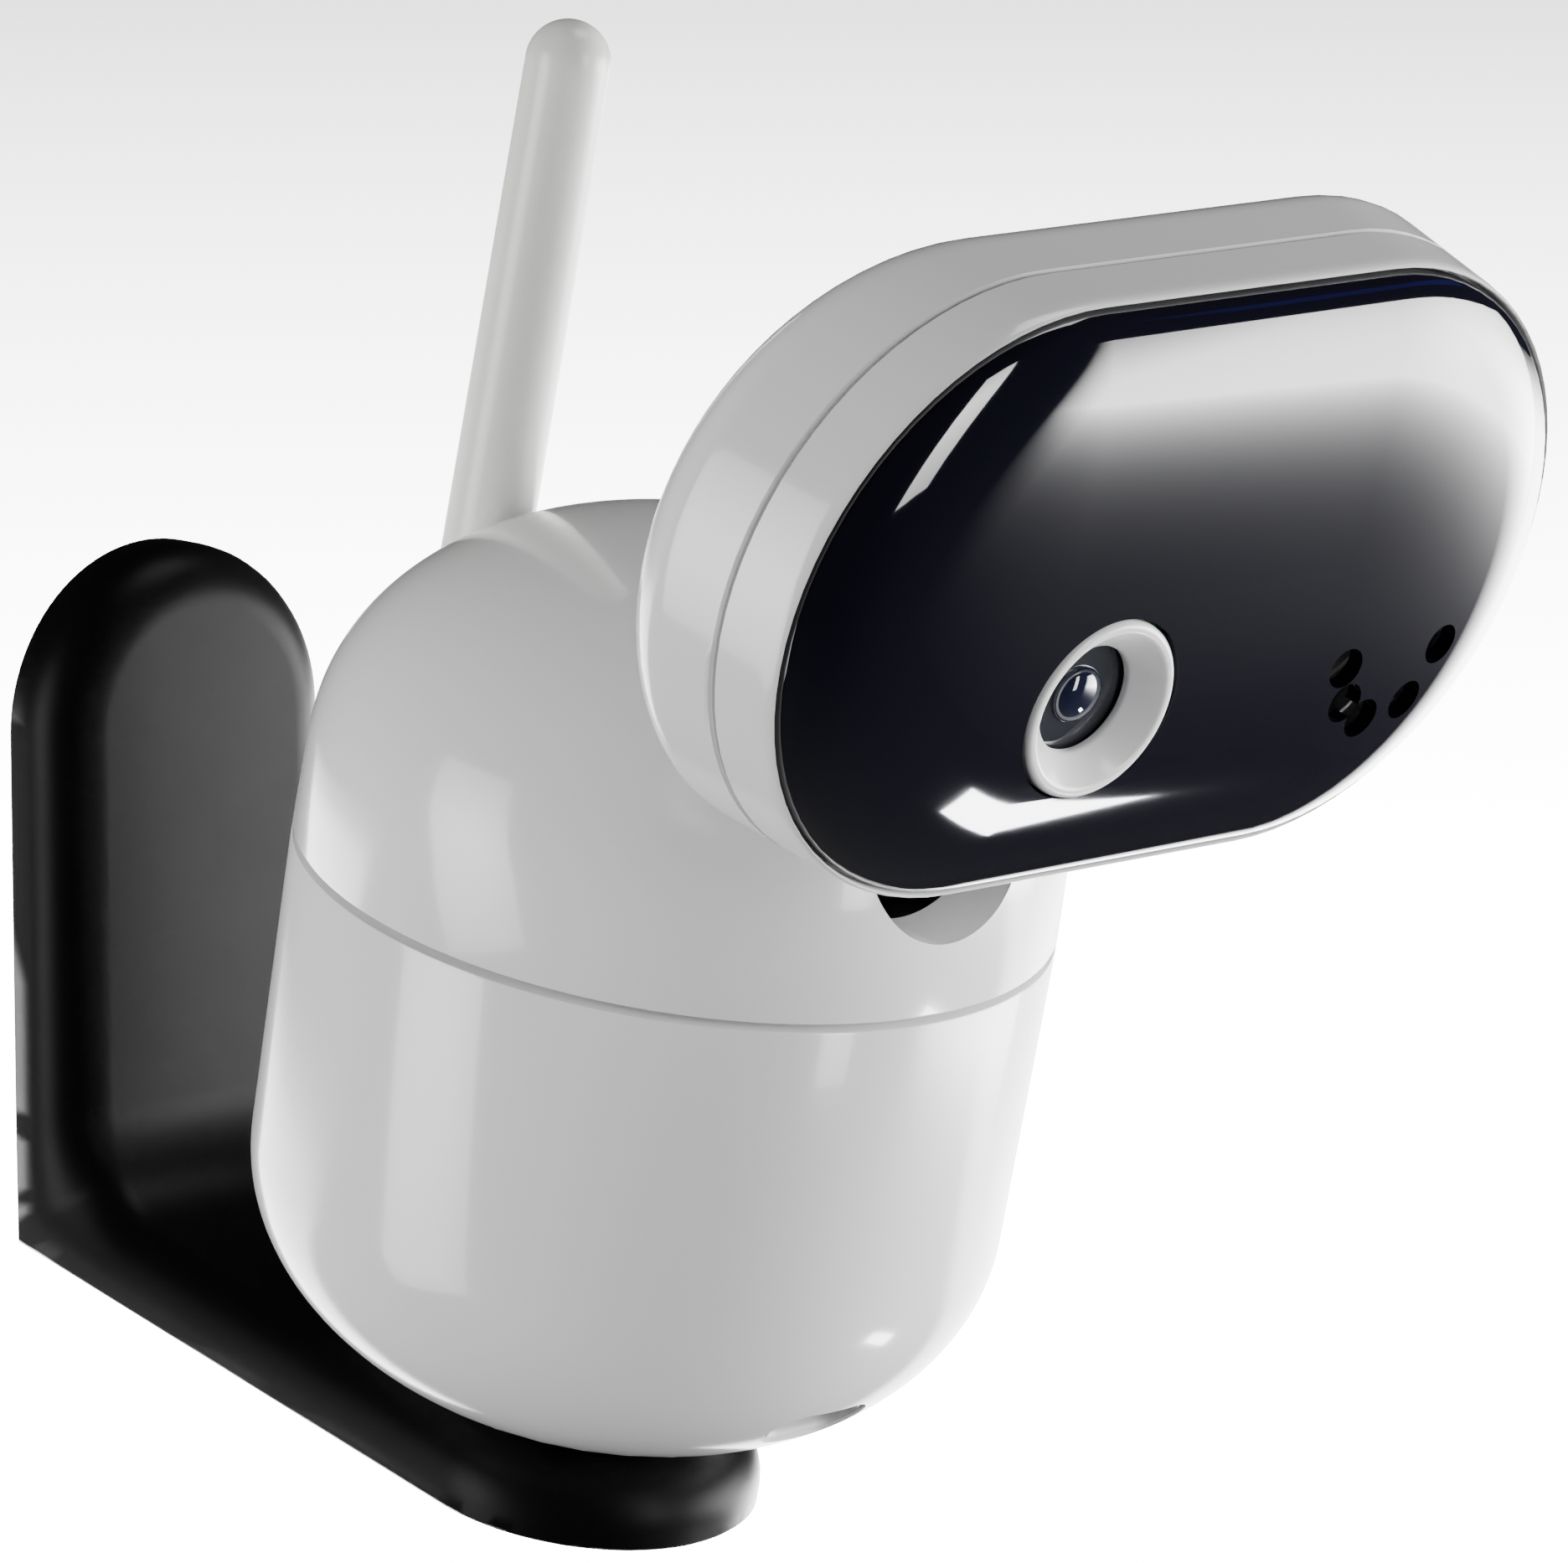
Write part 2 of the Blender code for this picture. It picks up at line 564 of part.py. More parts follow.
def make_lower_shell(seat, inlet):
    """The bowl: a turned shell with a chassis ledge, screw posts and the two side openings."""
    top = SEAM_HEIGHT - SEAM_GAP / 2.0
    ledge_top = CHASSIS_HEIGHT - GAP
    ledge_low = ledge_top - LEDGE_THICKNESS
    cap_top = CAP_HEIGHT + GAP
    outer = [(bowl_radius(top), top)] + bowl_profile(0.0, cap_top)
    inner = list(reversed(bowl_profile(SHELL_WALL, cap_top + 0.0020)))
    cap_hole = bowl_radius(cap_top) - 0.0026
    profile = outer + [(cap_hole, cap_top)] + [(cap_hole, cap_top + 0.0020)] + inner
    wall = bowl_radius(ledge_low, SHELL_WALL)
    profile += [(wall, ledge_low - LEDGE_WIDTH), (wall - LEDGE_WIDTH, ledge_low),
                (wall - LEDGE_WIDTH, ledge_top), (LIP_INNER, ledge_top),
                (LIP_INNER, top + 0.0010), (LIP_OUTER, top + 0.0010), (LIP_OUTER, top)]
    shell = solid("lower_shell", turned(profile), WHITE, seat)
    rib_reach = bowl_radius(cap_top) - BASE_RIB_MARGIN - BASE_SCREW_RING
    for index in range(3):
        angle = FIRST_SCREW_BEARING + THIRD_TURN * index
        spot = (BASE_SCREW_RING * math.cos(angle), BASE_SCREW_RING * math.sin(angle), 0.0)
        post = solid(f"base_post_{index + 1}",
                     prism([(POST_RADIUS * math.cos(a), POST_RADIUS * math.sin(a))
                            for a in [math.tau * s / 16 for s in range(16)]],
                           cap_top + INSET, BOARD_HEIGHT - GAP),
                     WHITE, seat, spot, cutter=True, turn_z=angle)
        combine(shell, post, "UNION")
        rib = solid(f"base_rib_{index + 1}",
                    box(POST_RADIUS * 0.7, 0.0, rib_reach, cap_top + 2.0 * INSET, cap_top + 0.0035),
                    WHITE, seat, spot, cutter=True, turn_z=angle - math.pi / 2.0)
        combine(shell, rib, "UNION")
        bore = solid(f"base_bore_{index + 1}",
                     rod(SCREW_RADIUS + 0.0002, cap_top - 0.001, cap_top + 0.0075, 12),
                     WHITE, seat, spot, cutter=True, turn_z=angle)
        combine(shell, bore, "DIFFERENCE")
    for index in range(3):
        angle = FIRST_CHASSIS_BEARING + THIRD_TURN * index
        spot = (CHASSIS_SCREW_RING * math.cos(angle), CHASSIS_SCREW_RING * math.sin(angle), 0.0)
        boss = solid(f"chassis_boss_{index + 1}",
                     box(0.0030, -0.0030, 0.0062, ledge_low - 0.0050, ledge_top - INSET),
                     WHITE, seat, spot, cutter=True, turn_z=angle - math.pi / 2.0)
        combine(shell, boss, "UNION")
        bore = solid(f"chassis_bore_{index + 1}",
                     rod(SCREW_RADIUS + 0.0002, ledge_top - 0.0062, ledge_top + 0.001, 12),
                     WHITE, seat, spot, cutter=True, turn_z=angle)
        combine(shell, bore, "DIFFERENCE")
    opening = prism(stadium((INLET_LENGTH - INLET_WIDTH) / 2.0, INLET_WIDTH / 2.0, 8),
                    -0.0090, 0.0060)
    combine(shell, solid("inlet_opening", opening, WHITE, inlet, cutter=True), "DIFFERENCE")
    hole = reaim(rod(BUTTON_RADIUS + GAP, 0.025, 0.045), ALONG_BACK, (0, 0, BUTTON_HEIGHT))
    combine(shell, solid("button_opening", hole, WHITE, seat, cutter=True), "DIFFERENCE")
    return shell


def make_base_cap(seat):
    """The bottom cap: the flat foot of the bowl, screwed up into the shell's posts."""
    low_ring = []
    for step in range(4):
        height = CAP_HEIGHT + (BASE_FLAT_HEIGHT - CAP_HEIGHT) * step / 3.0
        low_ring.append((bowl_radius(height), height))
    boss = INSERT_RADIUS + 0.0016
    inside = BASE_FLAT_HEIGHT + CAP_WALL
    rim = bowl_radius(CAP_HEIGHT) - 0.0028
    profile = low_ring + [(LOCK_SHANK_RADIUS + 0.0006, BASE_FLAT_HEIGHT)]
    profile += [(LOCK_SHANK_RADIUS + 0.0006, inside), (INSERT_RADIUS + GAP, inside),
                (INSERT_RADIUS + GAP, inside + 0.0055), (boss, inside + 0.0055), (boss, inside),
                (rim - 0.0018, inside), (rim, CAP_HEIGHT)]
    cap = solid("base_cap", turned(profile), WHITE, seat)
    for index in range(3):
        angle = FIRST_SCREW_BEARING + THIRD_TURN * index
        spot = (BASE_SCREW_RING * math.cos(angle), BASE_SCREW_RING * math.sin(angle), 0.0)
        land = solid(f"cap_land_{index + 1}",
                     rod(SCREW_HEAD_RADIUS + 0.0012, CAP_HEIGHT - 0.0017, CAP_HEIGHT, 12),
                     WHITE, seat, spot, cutter=True, turn_z=angle)
        combine(cap, land, "UNION", "MANIFOLD")
        well = solid(f"cap_well_{index + 1}",
                     rod(SCREW_HEAD_RADIUS + GAP, -0.001, CAP_HEIGHT - 0.0012, 12),
                     WHITE, seat, spot, cutter=True, turn_z=angle)
        combine(cap, well, "DIFFERENCE", "MANIFOLD")
        hole = solid(f"cap_hole_{index + 1}",
                     rod(SCREW_RADIUS + GAP, 0.0, CAP_HEIGHT + 0.001, 12),
                     WHITE, seat, spot, cutter=True, turn_z=angle)
        combine(cap, hole, "DIFFERENCE", "MANIFOLD")
        head = (spot[0], spot[1], CAP_HEIGHT - 0.0012 - GAP - SCREW_HEAD_HEIGHT)
        screw_solid(f"base_screw_{index + 1}", seat, head, 0.0085)
    return cap


def make_base_fittings(seat, inlet):
    """The foot, the threaded insert, the board, the inlet's cup and socket, and the button."""
    foot = [(FOOT_INNER, GAP), (FOOT_OUTER, GAP), (FOOT_OUTER, BASE_FLAT_HEIGHT - GAP),
            (FOOT_INNER, BASE_FLAT_HEIGHT - GAP)]
    solid("base_foot", turned(foot, 32), RUBBER, seat)
    low = BASE_FLAT_HEIGHT + CAP_WALL + GAP
    bore = LOCK_SHANK_RADIUS + RUNNING_GAP
    insert = [(bore, low), (INSERT_RADIUS, low), (INSERT_RADIUS, low + INSERT_HEIGHT),
              (bore, low + INSERT_HEIGHT)]
    solid("thread_insert", turned(insert, 32), BRASS, seat)

    board = [(0.0035, BOARD_HEIGHT), (BOARD_RADIUS, BOARD_HEIGHT),
             (BOARD_RADIUS, BOARD_HEIGHT + BOARD_THICKNESS),
             (0.0035, BOARD_HEIGHT + BOARD_THICKNESS)]
    main_board = solid("main_board", turned(board, 32), BOARD, seat)
    shield = solid("board_shield",
                   box(0.0085, 0.0060, 0.0180, BOARD_HEIGHT + 0.0005, BOARD_HEIGHT + 0.0038),
                   BOARD, seat, cutter=True)
    combine(main_board, shield, "UNION")
    chip = solid("board_chip",
                 box(0.0060, -0.0190, -0.0070, BOARD_HEIGHT + 0.0005, BOARD_HEIGHT + 0.0026),
                 BOARD, seat, cutter=True)
    combine(main_board, chip, "UNION")

    half_spine = (INLET_LENGTH - INLET_WIDTH) / 2.0
    inner = INLET_WIDTH / 2.0 - GAP - INLET_CUP_WALL
    cup_top = -SHELL_WALL * 0.25
    cup = solid("inlet_cup",
                prism(stadium(half_spine, INLET_WIDTH / 2.0 - GAP, 8),
                      -INLET_DEPTH - INLET_CUP_WALL, cup_top),
                GREY, inlet)
    hollow = solid("inlet_hollow",
                   prism(stadium(half_spine, inner + INLET_CUP_WALL * 0.55, 8),
                         -INLET_DEPTH, 0.004),
                   GREY, inlet, cutter=True)
    combine(cup, hollow, "DIFFERENCE")
    through = solid("inlet_through",
                    box(SOCKET_WIDTH / 2.0 + GAP, -SOCKET_THICKNESS / 2.0 - GAP,
                        SOCKET_THICKNESS / 2.0 + GAP, -0.012, -INLET_DEPTH + 0.002),
                    GREY, inlet, cutter=True)
    combine(cup, through, "DIFFERENCE")
    socket = solid("power_socket",
                   box(SOCKET_WIDTH / 2.0, -SOCKET_THICKNESS / 2.0, SOCKET_THICKNESS / 2.0,
                       -INLET_DEPTH - 0.0010 - SOCKET_DEPTH * 0.6, -INLET_DEPTH + 0.0018),
                   STEEL, inlet)
    mouth = solid("socket_mouth",
                  box(SOCKET_WIDTH / 2.0 - 0.0004, -SOCKET_THICKNESS / 2.0 + 0.0004,
                      SOCKET_THICKNESS / 2.0 - 0.0004, -INLET_DEPTH - 0.0022, 0.0),
                  STEEL, inlet, cutter=True)
    combine(socket, mouth, "DIFFERENCE")

    face = bowl_radius(BUTTON_HEIGHT) + BUTTON_PROUD
    crown = 0.0006
    button = [(0, face - 0.0046), (BUTTON_RADIUS + 0.0008, face - 0.0046),
              (BUTTON_RADIUS + 0.0008, face - 0.0036), (BUTTON_RADIUS, face - 0.0036),
              (BUTTON_RADIUS, face - crown), (BUTTON_RADIUS - crown, face), (0, face)]
    solid("pair_button", reaim(turned(button, SMALL_SEGMENTS), ALONG_BACK, (0, 0, BUTTON_HEIGHT)),
          GREY, seat)


def make_pan_drive(seat, pan):
    """The fixed chassis plate and motor, and the gears that turn the upper half."""
    plate_top = CHASSIS_HEIGHT + CHASSIS_THICKNESS
    rim = LIP_INNER - GAP
    plate = [(HUB_RADIUS + RUNNING_GAP, CHASSIS_HEIGHT), (rim, CHASSIS_HEIGHT),
             (rim, plate_top), (HUB_RADIUS + RUNNING_GAP, plate_top)]
    chassis = solid("pan_chassis", turned(plate), DARK, seat)
    spot = (PAN_CENTRES * math.cos(PAN_MOTOR_AZIMUTH), PAN_CENTRES * math.sin(PAN_MOTOR_AZIMUTH))
    shaft_hole = solid("motor_shaft_hole", rod(0.0026, CHASSIS_HEIGHT - 0.001, plate_top + 0.001),
                       DARK, seat, (*spot, 0.0), cutter=True)
    combine(chassis, shaft_hole, "DIFFERENCE")
    for index in range(3):
        angle = FIRST_CHASSIS_BEARING + THIRD_TURN * index
        place = (CHASSIS_SCREW_RING * math.cos(angle), CHASSIS_SCREW_RING * math.sin(angle))
        hole = solid(f"plate_hole_{index + 1}",
                     rod(SCREW_RADIUS + 0.0002, CHASSIS_HEIGHT - 0.001, plate_top + 0.001, 12),
                     DARK, seat, (*place, 0.0), cutter=True, turn_z=angle)
        combine(chassis, hole, "DIFFERENCE")
        screw_solid(f"chassis_screw_{index + 1}", seat,
                    (*place, plate_top + 0.0001 + SCREW_HEAD_HEIGHT), 0.0080, up=False)

    motor_top = CHASSIS_HEIGHT - GAP
    can = [(0, motor_top - PAN_MOTOR_LENGTH), (PAN_MOTOR_RADIUS - 0.0008,
                                               motor_top - PAN_MOTOR_LENGTH),
           (PAN_MOTOR_RADIUS, motor_top - PAN_MOTOR_LENGTH + 0.0008),
           (PAN_MOTOR_RADIUS, motor_top), (0.0022, motor_top), (0.0022, motor_top + 0.0012),
           (SHAFT_RADIUS + GAP, motor_top + 0.0012), (SHAFT_RADIUS + GAP, motor_top - 0.0040),
           (0, motor_top - 0.0040)]
    solid("pan_motor", turned(can, 32), STEEL, seat, (*spot, 0.0))

    gear_top = PAN_GEAR_BOTTOM + PAN_GEAR_THICKNESS
    gear = solid("pan_gear", prism(gear_outline(PAN_MODULE, PAN_TEETH), PAN_GEAR_BOTTOM, gear_top),
                 ACETAL, pan, turn_z=PAN_MOTOR_AZIMUTH)
    bore = solid("pan_gear_bore", rod(HUB_RADIUS + GAP, PAN_GEAR_BOTTOM - 0.001, gear_top + 0.001,
                                      32), ACETAL, pan, cutter=True)
    combine(gear, bore, "DIFFERENCE")

    axis = empty("pan_pinion_axis", (*spot, 0.0), 0.0, seat)
    axis.rotation_euler.z = PAN_MOTOR_AZIMUTH + math.pi + math.pi / PAN_PINION_TEETH
    pinion = solid("pan_pinion",
                   prism(gear_outline(PAN_MODULE, PAN_PINION_TEETH), PAN_GEAR_BOTTOM, gear_top),
                   ACETAL, axis)
    shaft = solid("pan_pinion_shaft", rod(SHAFT_RADIUS, motor_top - 0.0036, gear_top + 0.0006),
                  STEEL, axis, cutter=True)
    combine(pinion, shaft, "UNION")

    retainer = [(HUB_RADIUS + 0.0001 - 0.0008, CHASSIS_HEIGHT - 0.0018),
                (RETAINER_RADIUS, CHASSIS_HEIGHT - 0.0018),
                (RETAINER_RADIUS, CHASSIS_HEIGHT - GAP),
                (HUB_RADIUS + 0.0001 - 0.0008, CHASSIS_HEIGHT - GAP)]
    solid("hub_retainer", turned(retainer, 40), STEEL, pan)


# -------------------------------------------------------------------------------- the pan unit
def turntable_screw_spot(index):
    """Where a screw holds the turntable under the upper shell, and its bearing."""
    angle = FIRST_SCREW_BEARING + THIRD_TURN * index
    ring = TURNTABLE_SCREW_RING
    return ring * math.cos(angle), ring * math.sin(angle), angle


def make_turntable(pan):
    """The turning floor of the upper half, with its hollow hub."""
    top = TURNTABLE_HEIGHT + TURNTABLE_THICKNESS
    rim = dome_radius(SEAM_HEIGHT + 0.001, SHELL_WALL) - GAP
    groove_top = CHASSIS_HEIGHT - GAP + 0.0001
    groove_low = CHASSIS_HEIGHT - 0.0019
    neck = HUB_RADIUS - 0.0010
    shoulder_low = PAN_GEAR_BOTTOM + PAN_GEAR_THICKNESS + GAP
    profile = [(HUB_BORE, top), (HUB_BORE, groove_low - 0.0010), (HUB_RADIUS, groove_low - 0.0010),
               (HUB_RADIUS, groove_low), (neck, groove_low), (neck, groove_top),
               (HUB_RADIUS, groove_top), (HUB_RADIUS, shoulder_low),
               (SHOULDER_RADIUS, shoulder_low), (SHOULDER_RADIUS, TURNTABLE_HEIGHT),
               (rim, TURNTABLE_HEIGHT), (rim, top)]
    table = solid("turntable", turned(profile), DARK, pan)
    for index in range(3):
        x, y, angle = turntable_screw_spot(index)
        hole = solid(f"table_hole_{index + 1}",
                     rod(SCREW_RADIUS + 0.0002, TURNTABLE_HEIGHT - 0.002, top + 0.001, 12),
                     DARK, pan, (x, y, 0.0), cutter=True, turn_z=angle)
        combine(table, hole, "DIFFERENCE", "MANIFOLD")
        well = solid(f"table_well_{index + 1}",
                     rod(SCREW_HEAD_RADIUS + GAP, TURNTABLE_HEIGHT - 0.001,
                         TURNTABLE_HEIGHT + 0.0009, 12),
                     DARK, pan, (x, y, 0.0), cutter=True, turn_z=angle)
        combine(table, well, "DIFFERENCE", "MANIFOLD")
        screw_solid(f"turntable_screw_{index + 1}", pan,
                    (x, y, TURNTABLE_HEIGHT + 0.0008 - SCREW_HEAD_HEIGHT), 0.0060)


def slot_outline(half_width, bottom, top):
    """The neck slot seen from the front: a round-bottomed U, as (x, z)."""
    centre = bottom + half_width
    points = [(-half_width, top)]
    steps = 16
    for step in range(steps + 1):
        angle = math.pi + math.pi * step / steps
        points.append((half_width * math.cos(angle), centre + half_width * math.sin(angle)))
    points.append((half_width, top))
    return points


def slot_prism(half_width, bottom, top, front, back):
    """The neck slot as a solid along Y."""
    work = prism(slot_outline(half_width, bottom, top), -back, -front)
    return reaim(work, Matrix.Rotation(math.pi / 2.0, 3, "X"))


def make_upper_shell(pan):
    """The dome, with the tunnel round its neck slot and the antenna's pocket."""
    low = SEAM_HEIGHT + SEAM_GAP / 2.0
    top = TURNTABLE_HEIGHT + TURNTABLE_THICKNESS + GAP
    ledge = dome_radius(top, SHELL_WALL) - 0.0016
    outer = dome_profile(0.0, low)
    inner = list(reversed(dome_profile(SHELL_WALL, top + 0.0030)))
    profile = outer + inner
    profile += [(ledge, top + 0.0014), (ledge, top), (dome_radius(low, SHELL_WALL), top),
                (dome_radius(low, SHELL_WALL), low)]
    shell = solid("upper_shell", turned(profile), WHITE, pan)

    core_profile = [(0, low)] + dome_profile(SHELL_WALL * 0.5, low)
    for index in range(3):
        x, y, angle = turntable_screw_spot(index)
        boss = solid(f"shell_boss_{index + 1}",
                     box(0.0026, -0.0026, 0.0056, top + INSET, top + 0.0062),
                     WHITE, pan, (x, y, 0.0), cutter=True, turn_z=angle - math.pi / 2.0)
        combine(shell, boss, "UNION")
        bore = solid(f"shell_bore_{index + 1}",
                     rod(SCREW_RADIUS + 0.0002, top - 0.001, top + 0.0048, 12),
                     WHITE, pan, (x, y, 0.0), cutter=True, turn_z=angle)
        combine(shell, bore, "DIFFERENCE")

    tunnel = solid("slot_tunnel",
                   slot_prism(SLOT_HALF_WIDTH + SLOT_TUNNEL_WALL, SLOT_BOTTOM - SLOT_TUNNEL_WALL,
                              0.079, -0.040, -DOME_RADIUS + SLOT_TUNNEL_DEPTH),
                   WHITE, pan, cutter=True)
    tunnel_core = solid("tunnel_core", turned(core_profile), WHITE, pan, cutter=True)
    combine(tunnel, tunnel_core, "INTERSECT")
    combine(shell, tunnel, "UNION")

    reach = ANTENNA_FOOT_RADIUS + GAP + 0.0001
    wall = reach + ANTENNA_POCKET_WALL
    floor = ANTENNA_PIVOT_Z - reach
    pocket = solid("antenna_pocket",
                   prism(pocket_outline(wall), floor - ANTENNA_POCKET_WALL, 0.090),
                   WHITE, pan, cutter=True)
    pocket_core = solid("pocket_core", turned(core_profile), WHITE, pan, cutter=True)
    combine(pocket, pocket_core, "INTERSECT")
    combine(shell, pocket, "UNION")
    hollow = solid("antenna_hollow", prism(pocket_outline(reach), floor, 0.095), WHITE, pan,
                   cutter=True)
    rise = math.tan(math.pi / 2.0 - ANTENNA_FOLD)
    line_start = ANTENNA_PIVOT_Z - reach / math.sin(ANTENNA_FOLD)
    near = ANTENNA_Y + (floor - line_start) / rise
    far = near + 0.020
    stop = prism([(near, floor - 0.001), (far, floor - 0.001),
                  (far, floor + (far - near) * rise), (near, floor)], -wall, wall)
    stop_solid = solid("antenna_stop", reaim(stop, ALONG_X_KEEP_Y), WHITE, pan, cutter=True)
    combine(hollow, stop_solid, "DIFFERENCE")
    combine(shell, hollow, "DIFFERENCE")
    pin_hole = reaim(rod(ANTENNA_PIN_RADIUS + RUNNING_GAP, -wall - 0.002, wall + 0.002), ALONG_X,
                     (0, ANTENNA_Y, ANTENNA_PIVOT_Z))
    combine(shell, solid("pin_hole", pin_hole, WHITE, pan, cutter=True), "DIFFERENCE")

    slot = solid("neck_slot",
                 slot_prism(SLOT_HALF_WIDTH, SLOT_BOTTOM, 0.095, -0.045, SLOT_REAR_Y),
                 WHITE, pan, cutter=True)
    combine(shell, slot, "DIFFERENCE")
    return shell


def pocket_outline(radius):
    """The antenna's pocket in plan: round in front of the antenna and open behind it."""
    points = [(radius, 0.050), (-radius, 0.050)]
    steps = 12
    for step in range(steps + 1):
        angle = math.pi + math.pi * step / steps
        points.append((radius * math.cos(angle), ANTENNA_Y + radius * math.sin(angle)))
    return points


def make_antenna(pan):
    """The folding antenna: a tapered round bar with a round foot, and its hinge pin."""
    hinge = empty("antenna_axis", (0, ANTENNA_Y, ANTENNA_PIVOT_Z), 0.0, pan)
    lean = empty("antenna_lean", (0, 0, 0), ANTENNA_LEAN, hinge)
    length = (ANTENNA_TIP_Z - ANTENNA_PIVOT_Z) / math.cos(ANTENNA_LEAN)
    steps = 6
    profile = []
    for step in range(steps + 1):
        angle = math.pi / 2.0 * (step / steps - 1.0)
        profile.append((ANTENNA_FOOT_RADIUS * math.cos(angle) if step else 0.0,
                        ANTENNA_FOOT_RADIUS * math.sin(angle)))
    for step in range(steps + 1):
        angle = math.pi / 2.0 * step / steps
        profile.append((ANTENNA_TIP_RADIUS * math.cos(angle) if step < steps else 0.0,
                        length - ANTENNA_TIP_RADIUS + ANTENNA_TIP_RADIUS * math.sin(angle)))
    antenna = solid("antenna", turned(profile, 20), PEARL, lean)
    bore = reaim(rod(ANTENNA_PIN_RADIUS + RUNNING_GAP, -0.01, 0.01), ALONG_X)
    combine(antenna, solid("antenna_bore", bore, PEARL, lean, cutter=True), "DIFFERENCE")
    half = ANTENNA_FOOT_RADIUS + ANTENNA_POCKET_WALL
    pin = reaim(rod(ANTENNA_PIN_RADIUS, -half, half), ALONG_X)
    solid("antenna_pin", pin, STEEL, hinge)
    return antenna


def make_tilt_drive(pan, tilt):
    """The tilt frame on the turntable, the axle, the motor and the gears."""
    floor = FRAME_FLOOR
    frame = solid("tilt_frame",
                  box(EAR_OUTER + INSET, TILT_Y - EAR_HALF_DEPTH - INSET, 0.0080, floor,
                      floor + 0.0018),
                  DARK, pan)
    for side in (1, -1):
        outline = [(TILT_Y - EAR_HALF_DEPTH, floor + 0.0009), (0.0030, floor + 0.0009),
                   (0.0030, TILT_Z + 0.0055), (TILT_Y, TILT_Z + 0.0055)]
        for step in range(1, 7):
            angle = math.pi / 2.0 + math.pi / 2.0 * step / 6
            outline.append((TILT_Y + EAR_HALF_DEPTH * math.cos(angle),
                            TILT_Z + 0.0055 * math.sin(angle)))
        ear = prism(outline, EAR_INNER, EAR_OUTER)
        reaim(ear, Matrix(((0, 0, side), (1, 0, 0), (0, 1, 0))))
        combine(frame, solid(f"ear_{'right' if side > 0 else 'left'}", ear, DARK, pan,
                             cutter=True), "UNION")
    bore = reaim(rod(AXLE_RADIUS + RUNNING_GAP, -0.02, 0.02), ALONG_X, (0, TILT_Y, TILT_Z))
    combine(frame, solid("ear_bores", bore, DARK, pan, cutter=True), "DIFFERENCE")
    motor_y = TILT_Y + TILT_CENTRES
    shaft_bore = reaim(rod(0.0024, 0.0, 0.02), ALONG_X, (0, motor_y, TILT_Z))
    combine(frame, solid("motor_bore", shaft_bore, DARK, pan, cutter=True), "DIFFERENCE")
    hub_bore = rod(HUB_BORE, floor - 0.001, floor + 0.003)
    combine(frame, solid("frame_bore", hub_bore, DARK, pan, cutter=True), "DIFFERENCE")

    axle_end = TILT_GEAR_START + TILT_GEAR_THICKNESS + 0.0010
    axle = reaim(rod(AXLE_RADIUS, -EAR_OUTER - 0.0012, axle_end), ALONG_X)
    solid("tilt_axle", axle, STEEL, tilt)

    gear = reaim(prism(gear_outline(TILT_MODULE, TILT_TEETH, 0.00013), TILT_GEAR_START,
                       TILT_GEAR_START + TILT_GEAR_THICKNESS), ALONG_X_KEEP_Y)
    tilt_gear = solid("tilt_gear", gear, ACETAL, tilt)
    gear_bore = reaim(rod(AXLE_RADIUS + RUNNING_GAP, 0.0, 0.03), ALONG_X)
    combine(tilt_gear, solid("tilt_gear_bore", gear_bore, ACETAL, tilt, cutter=True),
            "DIFFERENCE")

    face = EAR_INNER - GAP
    can = [(0, face - TILT_MOTOR_LENGTH), (TILT_MOTOR_RADIUS, face - TILT_MOTOR_LENGTH),
           (TILT_MOTOR_RADIUS, face), (0.0020, face), (0.0020, face + 0.0014),
           (SHAFT_RADIUS + GAP, face + 0.0014), (SHAFT_RADIUS + GAP, face - 0.0050),
           (0, face - 0.0050)]
    solid("tilt_motor", reaim(turned(can, SMALL_SEGMENTS), ALONG_X, (0, motor_y, TILT_Z)),
          STEEL, pan)
    axis = empty("tilt_pinion_axis", (0, motor_y, TILT_Z), 0.0, pan)
    pinion = reaim(prism(gear_outline(TILT_MODULE, TILT_PINION_TEETH, 0.00013), TILT_GEAR_START,
                         TILT_GEAR_START + TILT_GEAR_THICKNESS),
                   ALONG_X_KEEP_Y @ Matrix.Rotation(math.pi / TILT_PINION_TEETH, 3, "Z"))
    tilt_pinion = solid("tilt_pinion", pinion, ACETAL, axis)
    shaft = reaim(rod(SHAFT_RADIUS, face - 0.0046,
                      TILT_GEAR_START + TILT_GEAR_THICKNESS + 0.0005), ALONG_X)
    combine(tilt_pinion, solid("tilt_pinion_shaft", shaft, STEEL, axis, cutter=True), "UNION")


# ---------------------------------------------------------------------------------- the head
def head_ring(depth, inset):
    """Half spine and radius of the head's section at a depth behind the face, less a wall."""
    share = min(1.0, max(0.0, (depth - HEAD_STRAIGHT) / (HEAD_DEPTH - inset - HEAD_STRAIGHT)))
    radius = (HEAD_RADIUS - inset) * (1.0 - share ** 1.65) ** (1.0 / 1.35)
    return FACE_HALF_SPINE + HEAD_BACK_SPREAD * depth / HEAD_DEPTH, radius


def head_depths(start, end, inset, steps):
    """Depths from start to end, closer together where the back turns in."""
    last = min(end, HEAD_DEPTH - inset - 0.0001)
    return [start + (last - start) * math.sin(math.pi / 2.0 * step / steps)
            for step in range(steps + 1)]


